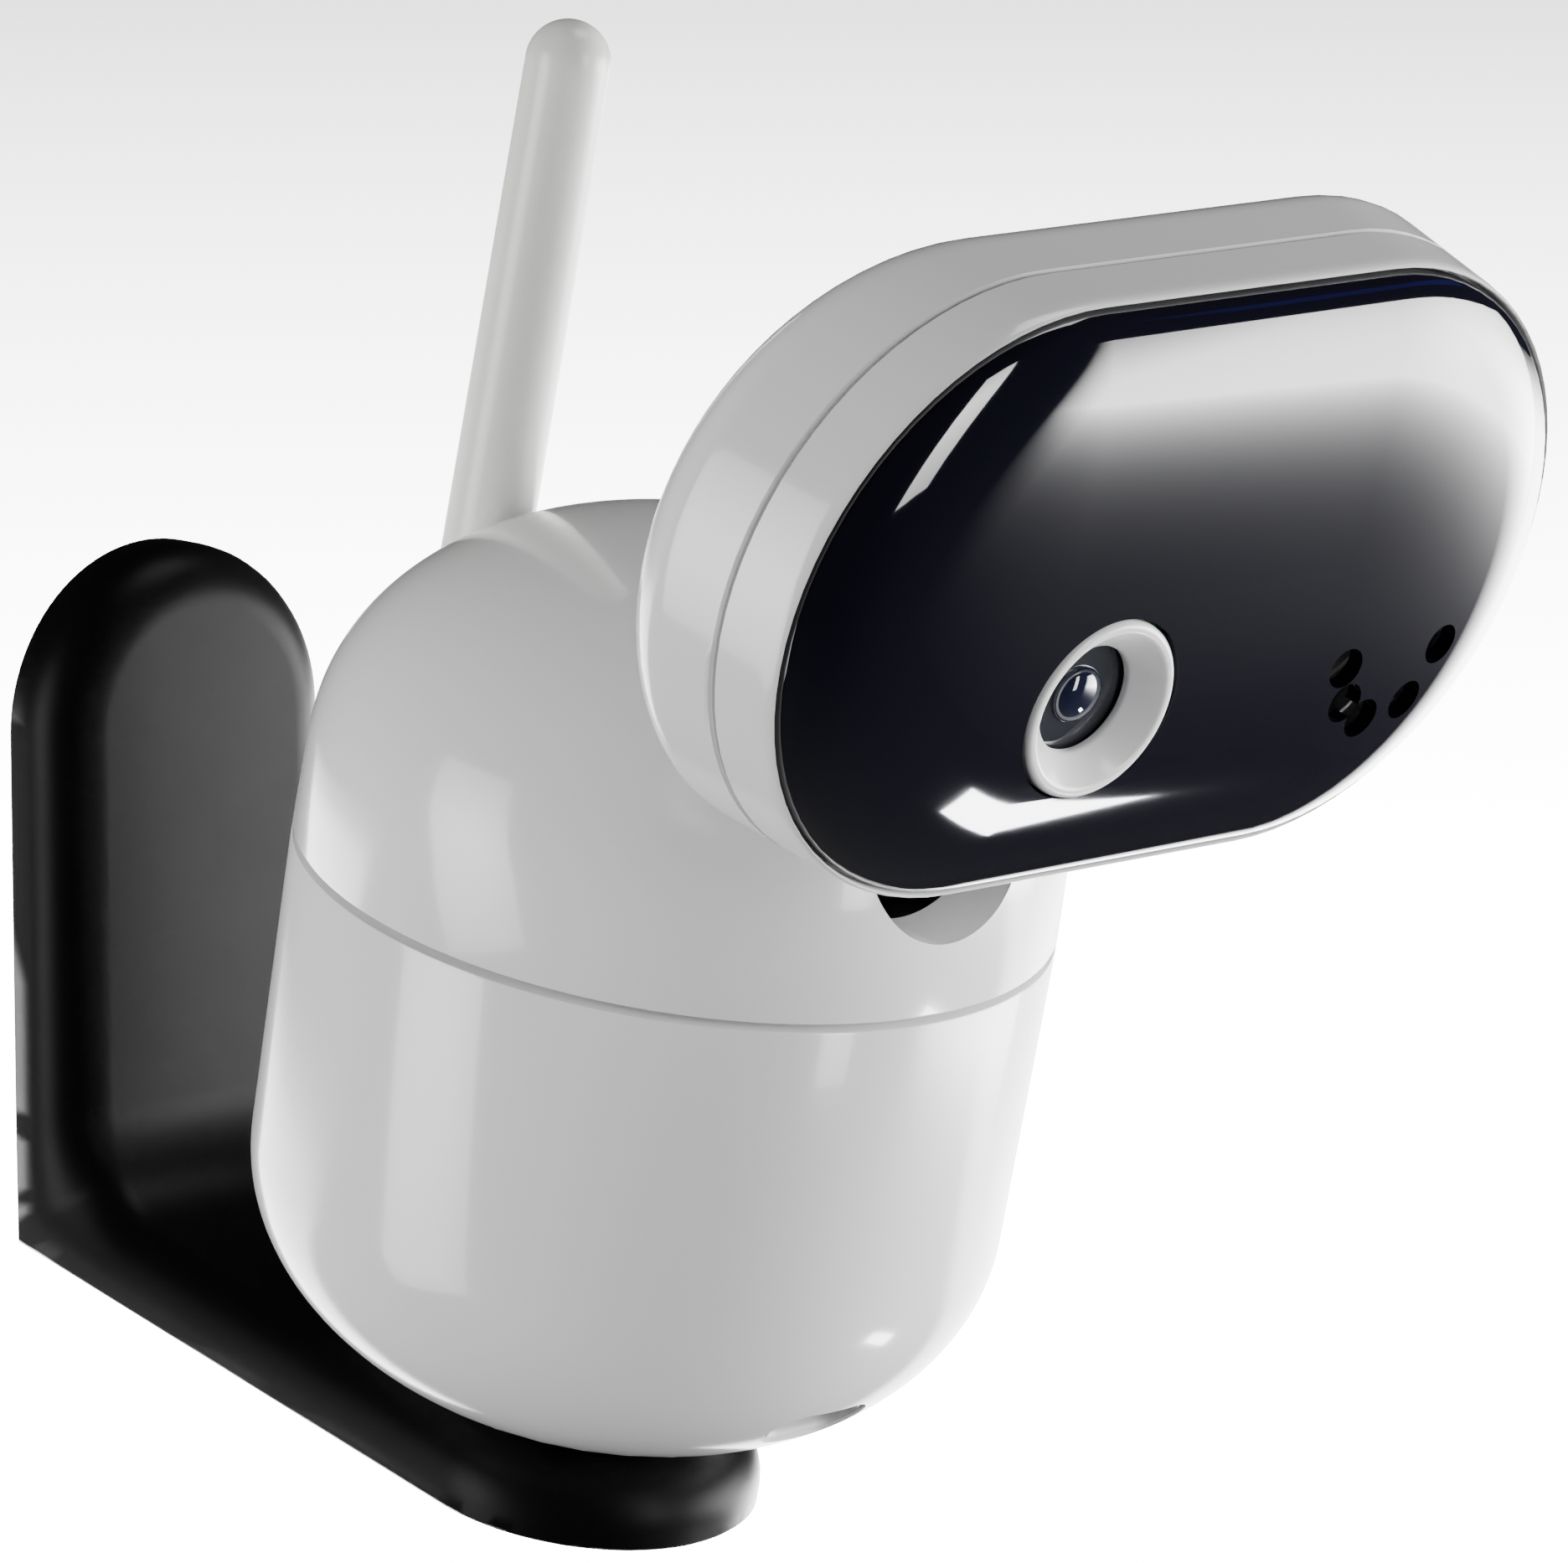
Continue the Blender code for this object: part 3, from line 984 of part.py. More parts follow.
def lofted(levels):
    """A bmesh through stadium sections, each (depth, half spine, radius), along +Y."""
    work = bmesh.new()
    rings = []
    for depth, half_spine, radius in levels:
        points = stadium(half_spine, radius)
        rings.append([work.verts.new((x, depth, z)) for x, z in points])
    for lower, upper in zip(rings, rings[1:]):
        for here in range(len(lower)):
            there = (here + 1) % len(lower)
            work.faces.new((lower[here], lower[there], upper[there], upper[here]))
    work.faces.new(rings[0])
    work.faces.new(list(reversed(rings[-1])))
    return work


def make_head_shells(head, arm_cutter):
    """The bezel ring, the middle shell and the rear cap."""
    rim = GLASS_RADIUS + GAP
    bezel_outer = [(-0.0004, FACE_HALF_SPINE, HEAD_RADIUS - 0.0006),
                   (0.0006, FACE_HALF_SPINE, HEAD_RADIUS - 0.0001)]
    for depth in (0.0030, BEZEL_DEPTH):
        bezel_outer.append((depth, *head_ring(depth, 0.0)))
    bezel_inner = [(BEZEL_DEPTH, *head_ring(BEZEL_DEPTH, HEAD_WALL)),
                   (0.0030, *head_ring(0.0030, HEAD_WALL)),
                   (0.0026, FACE_HALF_SPINE, rim - 0.0010),
                   (0.0019, FACE_HALF_SPINE, rim - 0.0010), (0.0019, FACE_HALF_SPINE, rim),
                   (-0.0004, FACE_HALF_SPINE, rim)]
    solid("head_bezel", ring_loft(bezel_outer + bezel_inner), WHITE, head)

    start = BEZEL_DEPTH + GAP
    end = REAR_CAP_START
    outer = [(depth, *head_ring(depth, 0.0)) for depth in head_depths(start, end, 0.0, 5)]
    inner = [(depth, *head_ring(depth, HEAD_WALL))
             for depth in reversed(head_depths(start, end, HEAD_WALL, 4))]
    middle = solid("head_middle_shell", ring_loft(outer + inner), WHITE, head)
    combine(middle, arm_cutter, "DIFFERENCE")

    start = REAR_CAP_START + GAP
    outer = [(depth, *head_ring(depth, 0.0))
             for depth in head_depths(start, HEAD_DEPTH - 0.0001, 0.0, 6)]
    inner = [(depth, *head_ring(depth, HEAD_WALL))
             for depth in reversed(head_depths(start, HEAD_DEPTH - HEAD_WALL - 0.0001,
                                               HEAD_WALL, 5))]
    cap = solid("head_rear_cap", cup_loft(outer, inner), WHITE, head)
    combine(cap, arm_cutter, "DIFFERENCE")


def ring_loft(levels):
    """A closed band through stadium sections that end where they began."""
    work = bmesh.new()
    rings = []
    for depth, half_spine, radius in levels:
        rings.append([work.verts.new((x, depth, z)) for x, z in stadium(half_spine, radius)])
    for lower, upper in zip(rings, rings[1:] + rings[:1]):
        for here in range(len(lower)):
            there = (here + 1) % len(lower)
            work.faces.new((lower[here], lower[there], upper[there], upper[here]))
    return work


def cup_loft(outer, inner):
    """A cup: its outer sections run to the closed end, and its inner ones run back."""
    work = bmesh.new()
    rings = []
    for depth, half_spine, radius in outer + inner:
        rings.append([work.verts.new((x, depth, z)) for x, z in stadium(half_spine, radius)])
    for index, (lower, upper) in enumerate(zip(rings, rings[1:] + rings[:1])):
        if index == len(outer) - 1:
            work.faces.new(list(reversed(lower)))
            work.faces.new(upper)
            continue
        for here in range(len(lower)):
            there = (here + 1) % len(lower)
            work.faces.new((lower[here], lower[there], upper[there], upper[here]))
    return work


def glass_height(share):
    """How far the glass stands out at a share of its radius from its spine."""
    return GLASS_BULGE * max(0.0, 1.0 - share ** GLASS_POWER) ** 0.5


def make_front_glass(head):
    """The domed dark glass, with its lens opening and the five sound ports."""
    outer = []
    steps = 9
    for step in range(steps + 1):
        share = math.sin(math.pi / 2.0 * (1.0 - step / (steps + 0.6)))
        outer.append((-glass_height(share), FACE_HALF_SPINE, GLASS_RADIUS * share))
    outer[0] = (0.0, FACE_HALF_SPINE, GLASS_RADIUS)
    inner = []
    for share in (0.16, 0.50, 0.80, 0.93):
        inner.append((GLASS_WALL - glass_height(share), FACE_HALF_SPINE,
                      (GLASS_RADIUS - 0.0003) * share))
    inner.append((GLASS_WALL, FACE_HALF_SPINE, GLASS_RADIUS))
    glass = solid("front_glass", cup_loft(outer, inner), GLASS, head)
    opening = rod(RING_RADIUS + 0.0002, -0.010, 0.010, 36)
    reaim(opening, ALONG_BACK, (LENS_X, 0, LENS_Z))
    combine(glass, solid("lens_opening", opening, GLASS, head, cutter=True), "DIFFERENCE")
    for index, angle in enumerate(PORT_ANGLES):
        turn = math.radians(angle)
        spot = (PORT_X + PORT_RING_RADIUS * math.cos(turn), 0,
                PORT_Z + PORT_RING_RADIUS * math.sin(turn))
        port = reaim(rod(PORT_RADIUS, -0.010, 0.010, 12), ALONG_BACK, spot)
        combine(glass, solid(f"sound_port_{index + 1}", port, GLASS, head, cutter=True),
                "DIFFERENCE")


def make_optics(head):
    """The lens ring and window, the barrel with its element, and the parts on the head board."""
    share = abs(LENS_Z) / GLASS_RADIUS
    front = -glass_height(share) - 0.0002
    back = front + RING_DEPTH
    throat = RING_APERTURE
    ring = [(RING_RADIUS - 0.0003, front), (RING_RADIUS, front + 0.0004), (RING_RADIUS, back),
            (throat, back), (throat, back - RING_LIP), (RING_RADIUS - 0.0013, front + 0.0002),
            (RING_RADIUS - 0.0010, front)]
    lens_spot = (LENS_X, 0, LENS_Z)
    solid("lens_ring", reaim(turned(ring, 36), ALONG_BACK, lens_spot), WHITE, head)
    window_front = back + GAP
    window = rod(WINDOW_RADIUS, window_front, window_front + WINDOW_THICKNESS, 32)
    solid("lens_window", reaim(window, ALONG_BACK, lens_spot), CLEAR, head)
    barrel_front = window_front + WINDOW_THICKNESS + GAP
    barrel_back = barrel_front + BARREL_LENGTH
    bore = ELEMENT_RADIUS + RUNNING_GAP
    barrel = [(BARREL_RADIUS, barrel_front), (BARREL_RADIUS, barrel_back),
              (bore - 0.0008, barrel_back), (bore - 0.0008, barrel_back - 0.0010),
              (bore, barrel_back - 0.0010), (bore, barrel_front + 0.0008),
              (bore + 0.0012, barrel_front)]
    solid("lens_barrel", reaim(turned(barrel, 32), ALONG_BACK, lens_spot), DARK, head)
    element = [(0, barrel_front + 0.0006), (ELEMENT_RADIUS * 0.5, barrel_front + 0.0008),
               (ELEMENT_RADIUS * 0.87, barrel_front + 0.0014),
               (ELEMENT_RADIUS, barrel_front + 0.0021), (ELEMENT_RADIUS, barrel_front + 0.0036),
               (0, barrel_front + 0.0036)]
    solid("lens_element", reaim(turned(element, 32), ALONG_BACK, lens_spot), CLEAR, head)

    board_front = HEAD_BOARD_Y
    board = [(board_front, FACE_HALF_SPINE - 0.001, 0.0205),
             (board_front + HEAD_BOARD_THICKNESS, FACE_HALF_SPINE - 0.001, 0.0205)]
    solid("head_board", lofted(board), BOARD, head)
    frame = [(HEAD_FRAME_Y, FACE_HALF_SPINE - 0.0020, 0.0190),
             (HEAD_FRAME_Y + HEAD_FRAME_THICKNESS, FACE_HALF_SPINE - 0.0020, 0.0190)]
    solid("head_frame", lofted(frame), DARK, head)

    seat_y = board_front - GAP
    for side_x in (1, -1):
        name = f"ir_emitter_{'right' if side_x > 0 else 'left'}"
        led = [(0, seat_y - 0.0052), (EMITTER_RADIUS * 0.6, seat_y - 0.0048),
               (EMITTER_RADIUS, seat_y - 0.0034), (EMITTER_RADIUS, seat_y), (0, seat_y)]
        solid(name, reaim(turned(led, SMALL_SEGMENTS), ALONG_BACK,
                          (side_x * EMITTER_X, 0, EMITTER_Z)), CLEAR, head)
    sensor = rod(SENSOR_RADIUS, seat_y - 0.0060, seat_y)
    solid("light_sensor", reaim(sensor, ALONG_BACK, (SENSOR_X, 0, SENSOR_Z)), GREY, head)
    microphone = rod(0.0030, seat_y - 0.0028, seat_y)
    solid("microphone", reaim(microphone, ALONG_BACK, (MICROPHONE_X, 0, 0.0)), STEEL, head)
    speaker = [(0, seat_y - SPEAKER_DEPTH + 0.0008), (SPEAKER_RADIUS * 0.45,
                                                      seat_y - SPEAKER_DEPTH + 0.0008),
               (SPEAKER_RADIUS * 0.85, seat_y - SPEAKER_DEPTH + 0.0002),
               (SPEAKER_RADIUS * 0.88, seat_y - SPEAKER_DEPTH),
               (SPEAKER_RADIUS, seat_y - SPEAKER_DEPTH), (SPEAKER_RADIUS, seat_y), (0, seat_y)]
    solid("speaker", reaim(turned(speaker, 32), ALONG_BACK, (PORT_X, 0, PORT_Z)), DARK, head)


def arm_outline(clearance):
    """The tilt arm's side, as (y, z) from the tilt axis: a hub and a straight neck."""
    reach = Vector((ARM_REACH_Y, ARM_REACH_Z))
    along = reach.normalized()
    across = Vector((-along.y, along.x))
    half = ARM_HALF_THICKNESS + clearance
    end = reach + along * clearance
    points = [end + across * half, end - across * half]
    steps = 12
    start = math.atan2(-across.y, -across.x)
    for step in range(steps + 1):
        angle = start - math.pi * step / steps
        points.append(Vector((half * math.cos(angle), half * math.sin(angle))))
    return [(point.x, point.y) for point in points]


def make_tilt_arm(tilt, head):
    """The neck, from the axle's hub to the flange that the head's frame is screwed to."""
    body = prism(arm_outline(0.0), -ARM_HALF_WIDTH, ARM_HALF_WIDTH)
    arm = solid("tilt_arm", reaim(body, ALONG_X_KEEP_Y), DARK, tilt)
    flange_front = HEAD_FRAME_Y + HEAD_FRAME_THICKNESS + GAP
    flange = box(0.0125, flange_front, flange_front + 0.0024, -0.0165, -0.0060)
    flange_solid = solid("arm_flange", flange, DARK, head, cutter=True)
    combine(arm, flange_solid, "UNION")
    trim = solid("arm_trim", box(0.020, -0.010, flange_front, -0.030, 0.020), DARK, head,
                 cutter=True)
    combine(arm, trim, "DIFFERENCE")
    bore = reaim(rod(AXLE_RADIUS + RUNNING_GAP, -0.02, 0.02), ALONG_X)
    combine(arm, solid("arm_bore", bore, DARK, tilt, cutter=True), "DIFFERENCE")
    back = flange_front + 0.0024
    for side in (1, -1):
        name = "right" if side > 0 else "left"
        spot = (side * 0.0103, 0.0, -0.0112)
        hole = reaim(rod(SCREW_RADIUS + 0.0002, HEAD_FRAME_Y - 0.001, back + 0.002, 12),
                     ALONG_BACK, spot)
        cut = solid(f"flange_hole_{name}", hole, DARK, head, cutter=True)
        combine(arm, cut, "DIFFERENCE")
        combine(bpy.data.objects["head_frame"], cut, "DIFFERENCE")
        profile = [(0, back + 0.0001 + SCREW_HEAD_HEIGHT),
                   (SCREW_HEAD_RADIUS, back + 0.0001 + SCREW_HEAD_HEIGHT),
                   (SCREW_HEAD_RADIUS, back + 0.0001), (SCREW_RADIUS, back + 0.0001),
                   (SCREW_RADIUS, HEAD_FRAME_Y + 0.0002), (0, HEAD_FRAME_Y + 0.0002)]
        solid(f"neck_screw_{name}", reaim(turned(list(reversed(profile)), 12), ALONG_BACK, spot),
              STEEL, head)
    return arm


def main():
    """Builds every piece of the camera and its bracket."""
    clear_scene()
    seat = empty("seat", SEAT, LEAN)
    pan = empty("pan_axis", (0, 0, 0), 0.0, seat)
    tilt = empty("tilt_axis", (0, TILT_Y, TILT_Z), 0.0, pan)
    head = empty("head_frame_origin", (0, FACE_Y - TILT_Y, FACE_Z - TILT_Z), FACE_PITCH, tilt)
    inlet = inlet_frame(seat)

    make_bracket(seat)
    make_lock_screw(seat)
    make_lower_shell(seat, inlet)
    make_base_cap(seat)
    make_base_fittings(seat, inlet)
    make_pan_drive(seat, pan)
    make_turntable(pan)
    make_upper_shell(pan)
    make_antenna(pan)
    make_tilt_drive(pan, tilt)

    arm_cutter = solid("neck_opening",
                       reaim(prism(arm_outline(0.0006), -ARM_HALF_WIDTH - 0.0006,
                                   ARM_HALF_WIDTH + 0.0006), ALONG_X_KEEP_Y),
                       WHITE, tilt, cutter=True)
    make_head_shells(head, arm_cutter)
    make_front_glass(head)
    make_optics(head)
    make_tilt_arm(tilt, head)


main()
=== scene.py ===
"""Looks of a wall-mounted nursery camera: smooth mouldings, finishes, studio and camera.

Lengths are in metres. The seat frame has its origin where the camera's own axis meets the bracket's
shelf and +Z up the camera; the face frame lies in the rim plane of the front glass, with -Y out of it.
"""

from __future__ import annotations

import logging
import math
from collections.abc import Mapping, Sequence
from dataclasses import dataclass, field
from enum import Enum
from typing import Any

import bmesh
import bpy
import numpy as np
from mathutils import Matrix, Vector
from mathutils.bvhtree import BVHTree


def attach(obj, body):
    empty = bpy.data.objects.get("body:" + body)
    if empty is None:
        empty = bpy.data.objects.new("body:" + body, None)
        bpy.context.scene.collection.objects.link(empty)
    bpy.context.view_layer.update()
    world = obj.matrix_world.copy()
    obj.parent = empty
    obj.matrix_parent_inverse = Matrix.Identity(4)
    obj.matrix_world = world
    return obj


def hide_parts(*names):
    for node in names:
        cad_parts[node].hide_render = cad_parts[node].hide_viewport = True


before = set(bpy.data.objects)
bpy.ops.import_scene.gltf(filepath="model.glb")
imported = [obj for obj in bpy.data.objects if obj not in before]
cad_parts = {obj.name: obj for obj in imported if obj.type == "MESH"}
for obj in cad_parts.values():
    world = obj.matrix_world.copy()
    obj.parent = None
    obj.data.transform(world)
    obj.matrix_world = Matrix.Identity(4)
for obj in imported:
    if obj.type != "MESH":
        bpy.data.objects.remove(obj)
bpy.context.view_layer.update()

LOG = logging.getLogger("nursery_camera")

Point2 = tuple[float, float]
Colour = tuple[float, float, float]
Piece = bpy.types.Object
Inputs = Mapping[str | int, Any]

QUARTER = math.pi / 2.0
ROUND = 144
FINE_ROUND = 96
CAP_STEPS = 36
GAP = 0.0003
THROUGH = 0.0200
SOFT_EDGE = 0.00022
SEAM_EDGE = 0.0003
SEAM_HALF = 0.00035
MERGE = 1e-7
ON_AXIS = 1e-9


# ------------------------------------------------------------------------------------- frames
@dataclass(frozen=True)
class Pose:
    """Where a unit stands.

    Args:
        matrix: takes the unit's own coordinates to the world's.
    """

    matrix: Matrix

    def moved(self, offset: Sequence[float], turn_x: float = 0.0) -> "Pose":
        """A pose inside this one.

        Args:
            offset: the inner origin, in this frame.
            turn_x: its turn about X, in radians.

        Returns:
            The inner pose.
        """
        inner = Matrix.Translation(offset) @ Matrix.Rotation(turn_x, 4, "X")
        return Pose(self.matrix @ inner)


LEAN = math.radians(13.0)
PLATE_HEIGHT = 0.0680
PLATE_THICKNESS = 0.0086
SHELF_THICKNESS = 0.0075
AXIS_ALONG_SHELF = 0.0648
SHELF_LENGTH = AXIS_ALONG_SHELF + 0.0170
OUT = Vector((0.0, -math.cos(LEAN), -math.sin(LEAN)))
RISE = Vector((0.0, -math.sin(LEAN), math.cos(LEAN)))
CORNER = Vector((0.0, 0.0, -PLATE_HEIGHT / 2.0))
SEAT = Pose(Matrix.Translation(CORNER + OUT * AXIS_ALONG_SHELF + RISE * SHELF_THICKNESS)
            @ Matrix.Rotation(LEAN, 4, "X"))
TILT = SEAT.moved((0.0, -0.0130, 0.0670))
FACE = SEAT.moved((0.0, -0.0545, 0.1034), math.radians(6.6))
ANTENNA = SEAT.moved((0.0, 0.0322, 0.0672), math.radians(1.2))


# --------------------------------------------------------------------------------------- nodes
class Graph:
    """A node tree whose nodes all come from one method.

    Args:
        tree: the tree that is built in.
    """

    def __init__(self, tree: bpy.types.NodeTree) -> None:
        """Keeps the tree."""
        self.tree = tree

    def node(self, kind: str, inputs: Inputs | None = None, **settings: Any) -> bpy.types.Node:
        """Adds a node.

        Args:
            kind: the node's type.
            inputs: values or links of its sockets, by name or number.
            settings: the node's own settings, which are set first.

        Returns:
            The node.
        """
        made = self.tree.nodes.new(kind)
        for name, value in settings.items():
            setattr(made, name, value)
        self.feed(made, inputs or {})
        return made

    def feed(self, node: bpy.types.Node, inputs: Inputs) -> None:
        """Sets or links a node's sockets.

        Args:
            node: the node.
            inputs: values or links, by the socket's name or number.
        """
        for key, value in inputs.items():
            source = value.link if isinstance(value, Sock) else value
            if isinstance(source, bpy.types.NodeSocket):
                self.tree.links.new(source, node.inputs[key])
            else:
                node.inputs[key].default_value = source


class Sock:
    """A shader value that can be added, multiplied and so on.

    Args:
        graph: the graph that it belongs to.
        link: the output socket.
    """

    def __init__(self, graph: Graph, link: bpy.types.NodeSocket) -> None:
        """Keeps the graph and the socket."""
        self.graph = graph
        self.link = link

    def _math(self, operation: str, first: "Sock | float", second: "Sock | float" = 0.0) -> "Sock":
        """The result of a Math node."""
        node = self.graph.node("ShaderNodeMath", {0: first, 1: second}, operation=operation)
        return Sock(self.graph, node.outputs[0])

    def __add__(self, other: "Sock | float") -> "Sock":
        """Sum."""
        return self._math("ADD", self, other)

    def __sub__(self, other: "Sock | float") -> "Sock":
        """Difference."""
        return self._math("SUBTRACT", self, other)

    def __rsub__(self, other: float) -> "Sock":
        """Difference from a number."""
        return self._math("SUBTRACT", other, self)

    def __mul__(self, other: "Sock | float") -> "Sock":
        """Product."""
        return self._math("MULTIPLY", self, other)

    __radd__ = __add__
    __rmul__ = __mul__

    def exp(self) -> "Sock":
        """The exponential of the value."""
        return self._math("EXPONENT", self)

    def at_most(self, top: float) -> "Sock":
        """The value, held at or below a top value."""
        return self._math("MINIMUM", self, top)


# ------------------------------------------------------------------------------------ finishes
PATCH_SPACING = 0.010
PATCH_DETAIL = 2.0
WANDER_SPACING = 0.006
WANDER_DETAIL = 4.0
COAT_ROUGHNESS = 0.03
BUMP_STRENGTH = 0.5
SCATTER_REACH = (0.002, 0.002, 0.002)




@dataclass(frozen=True)
class Finish:
    """A surface finish with real-scale grain.

    Args:
        name: the material's name.
        slot: the record's slot that it stands for; not used.
        colour: base colour.
        roughness: mean roughness.
        metallic: 1 for metals.
        coat: clear coat weight.
        specular: specular level.
        grain: spacing of the surface grain.
        bump: height of the grain.
        spread: how far the roughness wanders either way.
        shade: how far the colour darkens in patches.
        subsurface: share of light scattered inside.
    """

    name: str
    slot: str
    colour: Colour
    roughness: float
    metallic: float = 0.0
    coat: float = 0.0
    specular: float = 0.5
    grain: float = 0.0004
    bump: float = 0.000004
    spread: float = 0.03
    shade: float = 0.02
    subsurface: float = 0.0

    def noise(self, graph: Graph, spacing: float, detail: float = 3.0) -> Sock:
        """Noise over the object, with a real spacing.

        Args:
            graph: the material's graph.
            spacing: distance between its bumps.
            detail: octaves.

        Returns:
            The noise, from 0 to 1.
        """
        coords = graph.node("ShaderNodeTexCoord")
        noise = graph.node("ShaderNodeTexNoise", {
            "Vector": coords.outputs["Object"], "Scale": 1.0 / spacing, "Detail": detail})
        return Sock(graph, noise.outputs["Fac"])

    def pattern(self, graph: Graph) -> Sock:
        """The grain that the bump follows."""
        return self.noise(graph, self.grain)

    def tint(self, graph: Graph) -> bpy.types.NodeSocket:
        """The base colour, slightly darker in soft patches.

        Args:
            graph: the material's graph.

        Returns:
            The colour's socket.
        """
        dark = tuple(part * (1.0 - 4.0 * self.shade) for part in self.colour)
        patches = self.noise(graph, PATCH_SPACING, PATCH_DETAIL) * 0.5
        mix = graph.node("ShaderNodeMix", {"Factor": patches, "A": (*self.colour, 1.0),
                                           "B": (*dark, 1.0)}, data_type="RGBA")
        return mix.outputs["Result"]

    def material(self) -> bpy.types.Material:
        """The material, made once.

        Returns:
            The Blender material.
        """
        found = bpy.data.materials.get(self.name)
        if found:
            return found
        made = bpy.data.materials.new(self.name)
        made.use_nodes = True
        graph = Graph(made.node_tree)
        wander = self.noise(graph, WANDER_SPACING, WANDER_DETAIL) * (2.0 * self.spread)
        bump = graph.node("ShaderNodeBump", {
            "Strength": BUMP_STRENGTH, "Distance": self.bump, "Height": self.pattern(graph)})
        graph.feed(made.node_tree.nodes["Principled BSDF"], {
            "Metallic": self.metallic,
            "Coat Weight": self.coat,
            "Coat Roughness": COAT_ROUGHNESS,
            "Specular IOR Level": self.specular,
            "Subsurface Weight": self.subsurface,
            "Subsurface Radius": SCATTER_REACH,
            "Base Color": self.tint(graph),
            "Roughness": wander + (self.roughness - self.spread),
            "Normal": bump.outputs["Normal"],
        })
        return made


@dataclass(frozen=True)
class BrushedFinish(Finish):
    """A metal or drawn moulding whose grain runs in one direction.

    Args:
        stretch: how many times longer the grain is along Z than across it.
    """

    stretch: float = 30.0

    def pattern(self, graph: Graph) -> Sock:
        """Noise drawn out along Z.

        Args:
            graph: the material's graph.

        Returns:
            The noise, from 0 to 1.
        """
        coords = graph.node("ShaderNodeTexCoord")
        drawn = graph.node("ShaderNodeMapping", {
            "Vector": coords.outputs["Object"], "Scale": (1.0, 1.0, 1.0 / self.stretch)})
        noise = graph.node("ShaderNodeTexNoise", {
            "Vector": drawn.outputs["Vector"], "Scale": 1.0 / self.grain})
        return Sock(graph, noise.outputs["Fac"])


WHITE = Finish("shell_white", "white_gloss", (0.86, 0.86, 0.855), 0.16, coat=0.35,
               bump=0.000002, grain=0.0012, spread=0.02, shade=0.004)
BLACK = Finish("bracket_black", "black_soft", (0.0026, 0.0026, 0.0029), 0.40, specular=0.075,
               bump=0.000010, grain=0.00018, spread=0.04, shade=0.02)
GLASS = Finish("front_glass_black", "black_glass", (0.0035, 0.0035, 0.008), 0.045, coat=0.6,
               specular=0.62, bump=0.0000004, grain=0.004, spread=0.008, shade=0.0)
PEARL = BrushedFinish("antenna_pearl", "antenna_pearl", (0.80, 0.79, 0.765), 0.24, coat=0.4,
                      subsurface=0.25, bump=0.000010, grain=0.00055, spread=0.05, shade=0.02)
RING = Finish("ring_white", "white_gloss", (0.83, 0.83, 0.84), 0.25, coat=0.2, shade=0.004)
WINDOW = Finish("lens_window_dark", "clear_lens", (0.022, 0.024, 0.030), 0.05, coat=0.5,
                spread=0.01, shade=0.0)
LENS = Finish("lens_glass", "clear_lens", (0.010, 0.012, 0.030), 0.03, coat=1.0, specular=0.8,
              spread=0.01, shade=0.0)
DARK = Finish("inner_dark", "dark_plastic", (0.022, 0.022, 0.024), 0.48)
GREY = Finish("inlet_grey", "grey_plastic", (0.50, 0.50, 0.50), 0.42)
RUBBER = Finish("foot_rubber", "rubber", (0.020, 0.020, 0.020), 0.80, bump=0.00002)
ACETAL = Finish("gear_acetal", "acetal", (0.78, 0.77, 0.72), 0.40)
BOARD = Finish("board_green", "board_green", (0.015, 0.110, 0.045), 0.40, bump=0.00001)
BRASS = BrushedFinish("insert_brass", "brass", (0.66, 0.48, 0.22), 0.30, metallic=1.0)
STEEL = BrushedFinish("plated_steel", "steel", (0.60, 0.60, 0.62), 0.28, metallic=1.0,
                      grain=0.0003)
SENSOR = Finish("sensor_dark", "grey_plastic", (0.060, 0.060, 0.075), 0.20)
FLOOR = Finish("floor_pale", "floor", (0.93, 0.93, 0.93), 0.9, specular=0.2, shade=0.0,
               bump=0.00001)

CARRIED: tuple[tuple[Finish, tuple[str, ...]], ...] = (
    (WHITE, ("base_cap",)),
    (DARK, ("pan_chassis", "turntable", "tilt_frame", "head_frame", "speaker")),
    (STEEL, (*(f"{kind}_screw_{number}" for kind in ("base", "chassis", "turntable")
               for number in (1, 2, 3)),
             "neck_screw_left", "neck_screw_right", "pan_motor", "tilt_motor", "hub_retainer",
             "antenna_pin", "tilt_axle", "power_socket", "microphone")),
    (BRASS, ("thread_insert",)),
    (BOARD, ("main_board", "head_board")),
    (ACETAL, ("pan_gear", "pan_pinion", "tilt_gear", "tilt_pinion")),
    (LENS, ("ir_emitter_left", "ir_emitter_right")),
    (SENSOR, ("light_sensor",)),
)


# --------------------------------------------------------------------------------- mesh tools
class Body(Enum):
    """The rigid bodies that pieces ride on."""

    BASE = "base"
    PAN = "pan_unit"
    HEAD = "head_unit"
    ANTENNA = "antenna_unit"
    BUTTON = "button_unit"


def linked(name: str, data: bpy.types.ID) -> Piece:
    """A new object in the scene.

    Args:
        name: its name.
        data: its mesh, light or camera.

    Returns:
        The object.
    """
    made = bpy.data.objects.new(name, data)
    bpy.context.collection.objects.link(made)
    return made


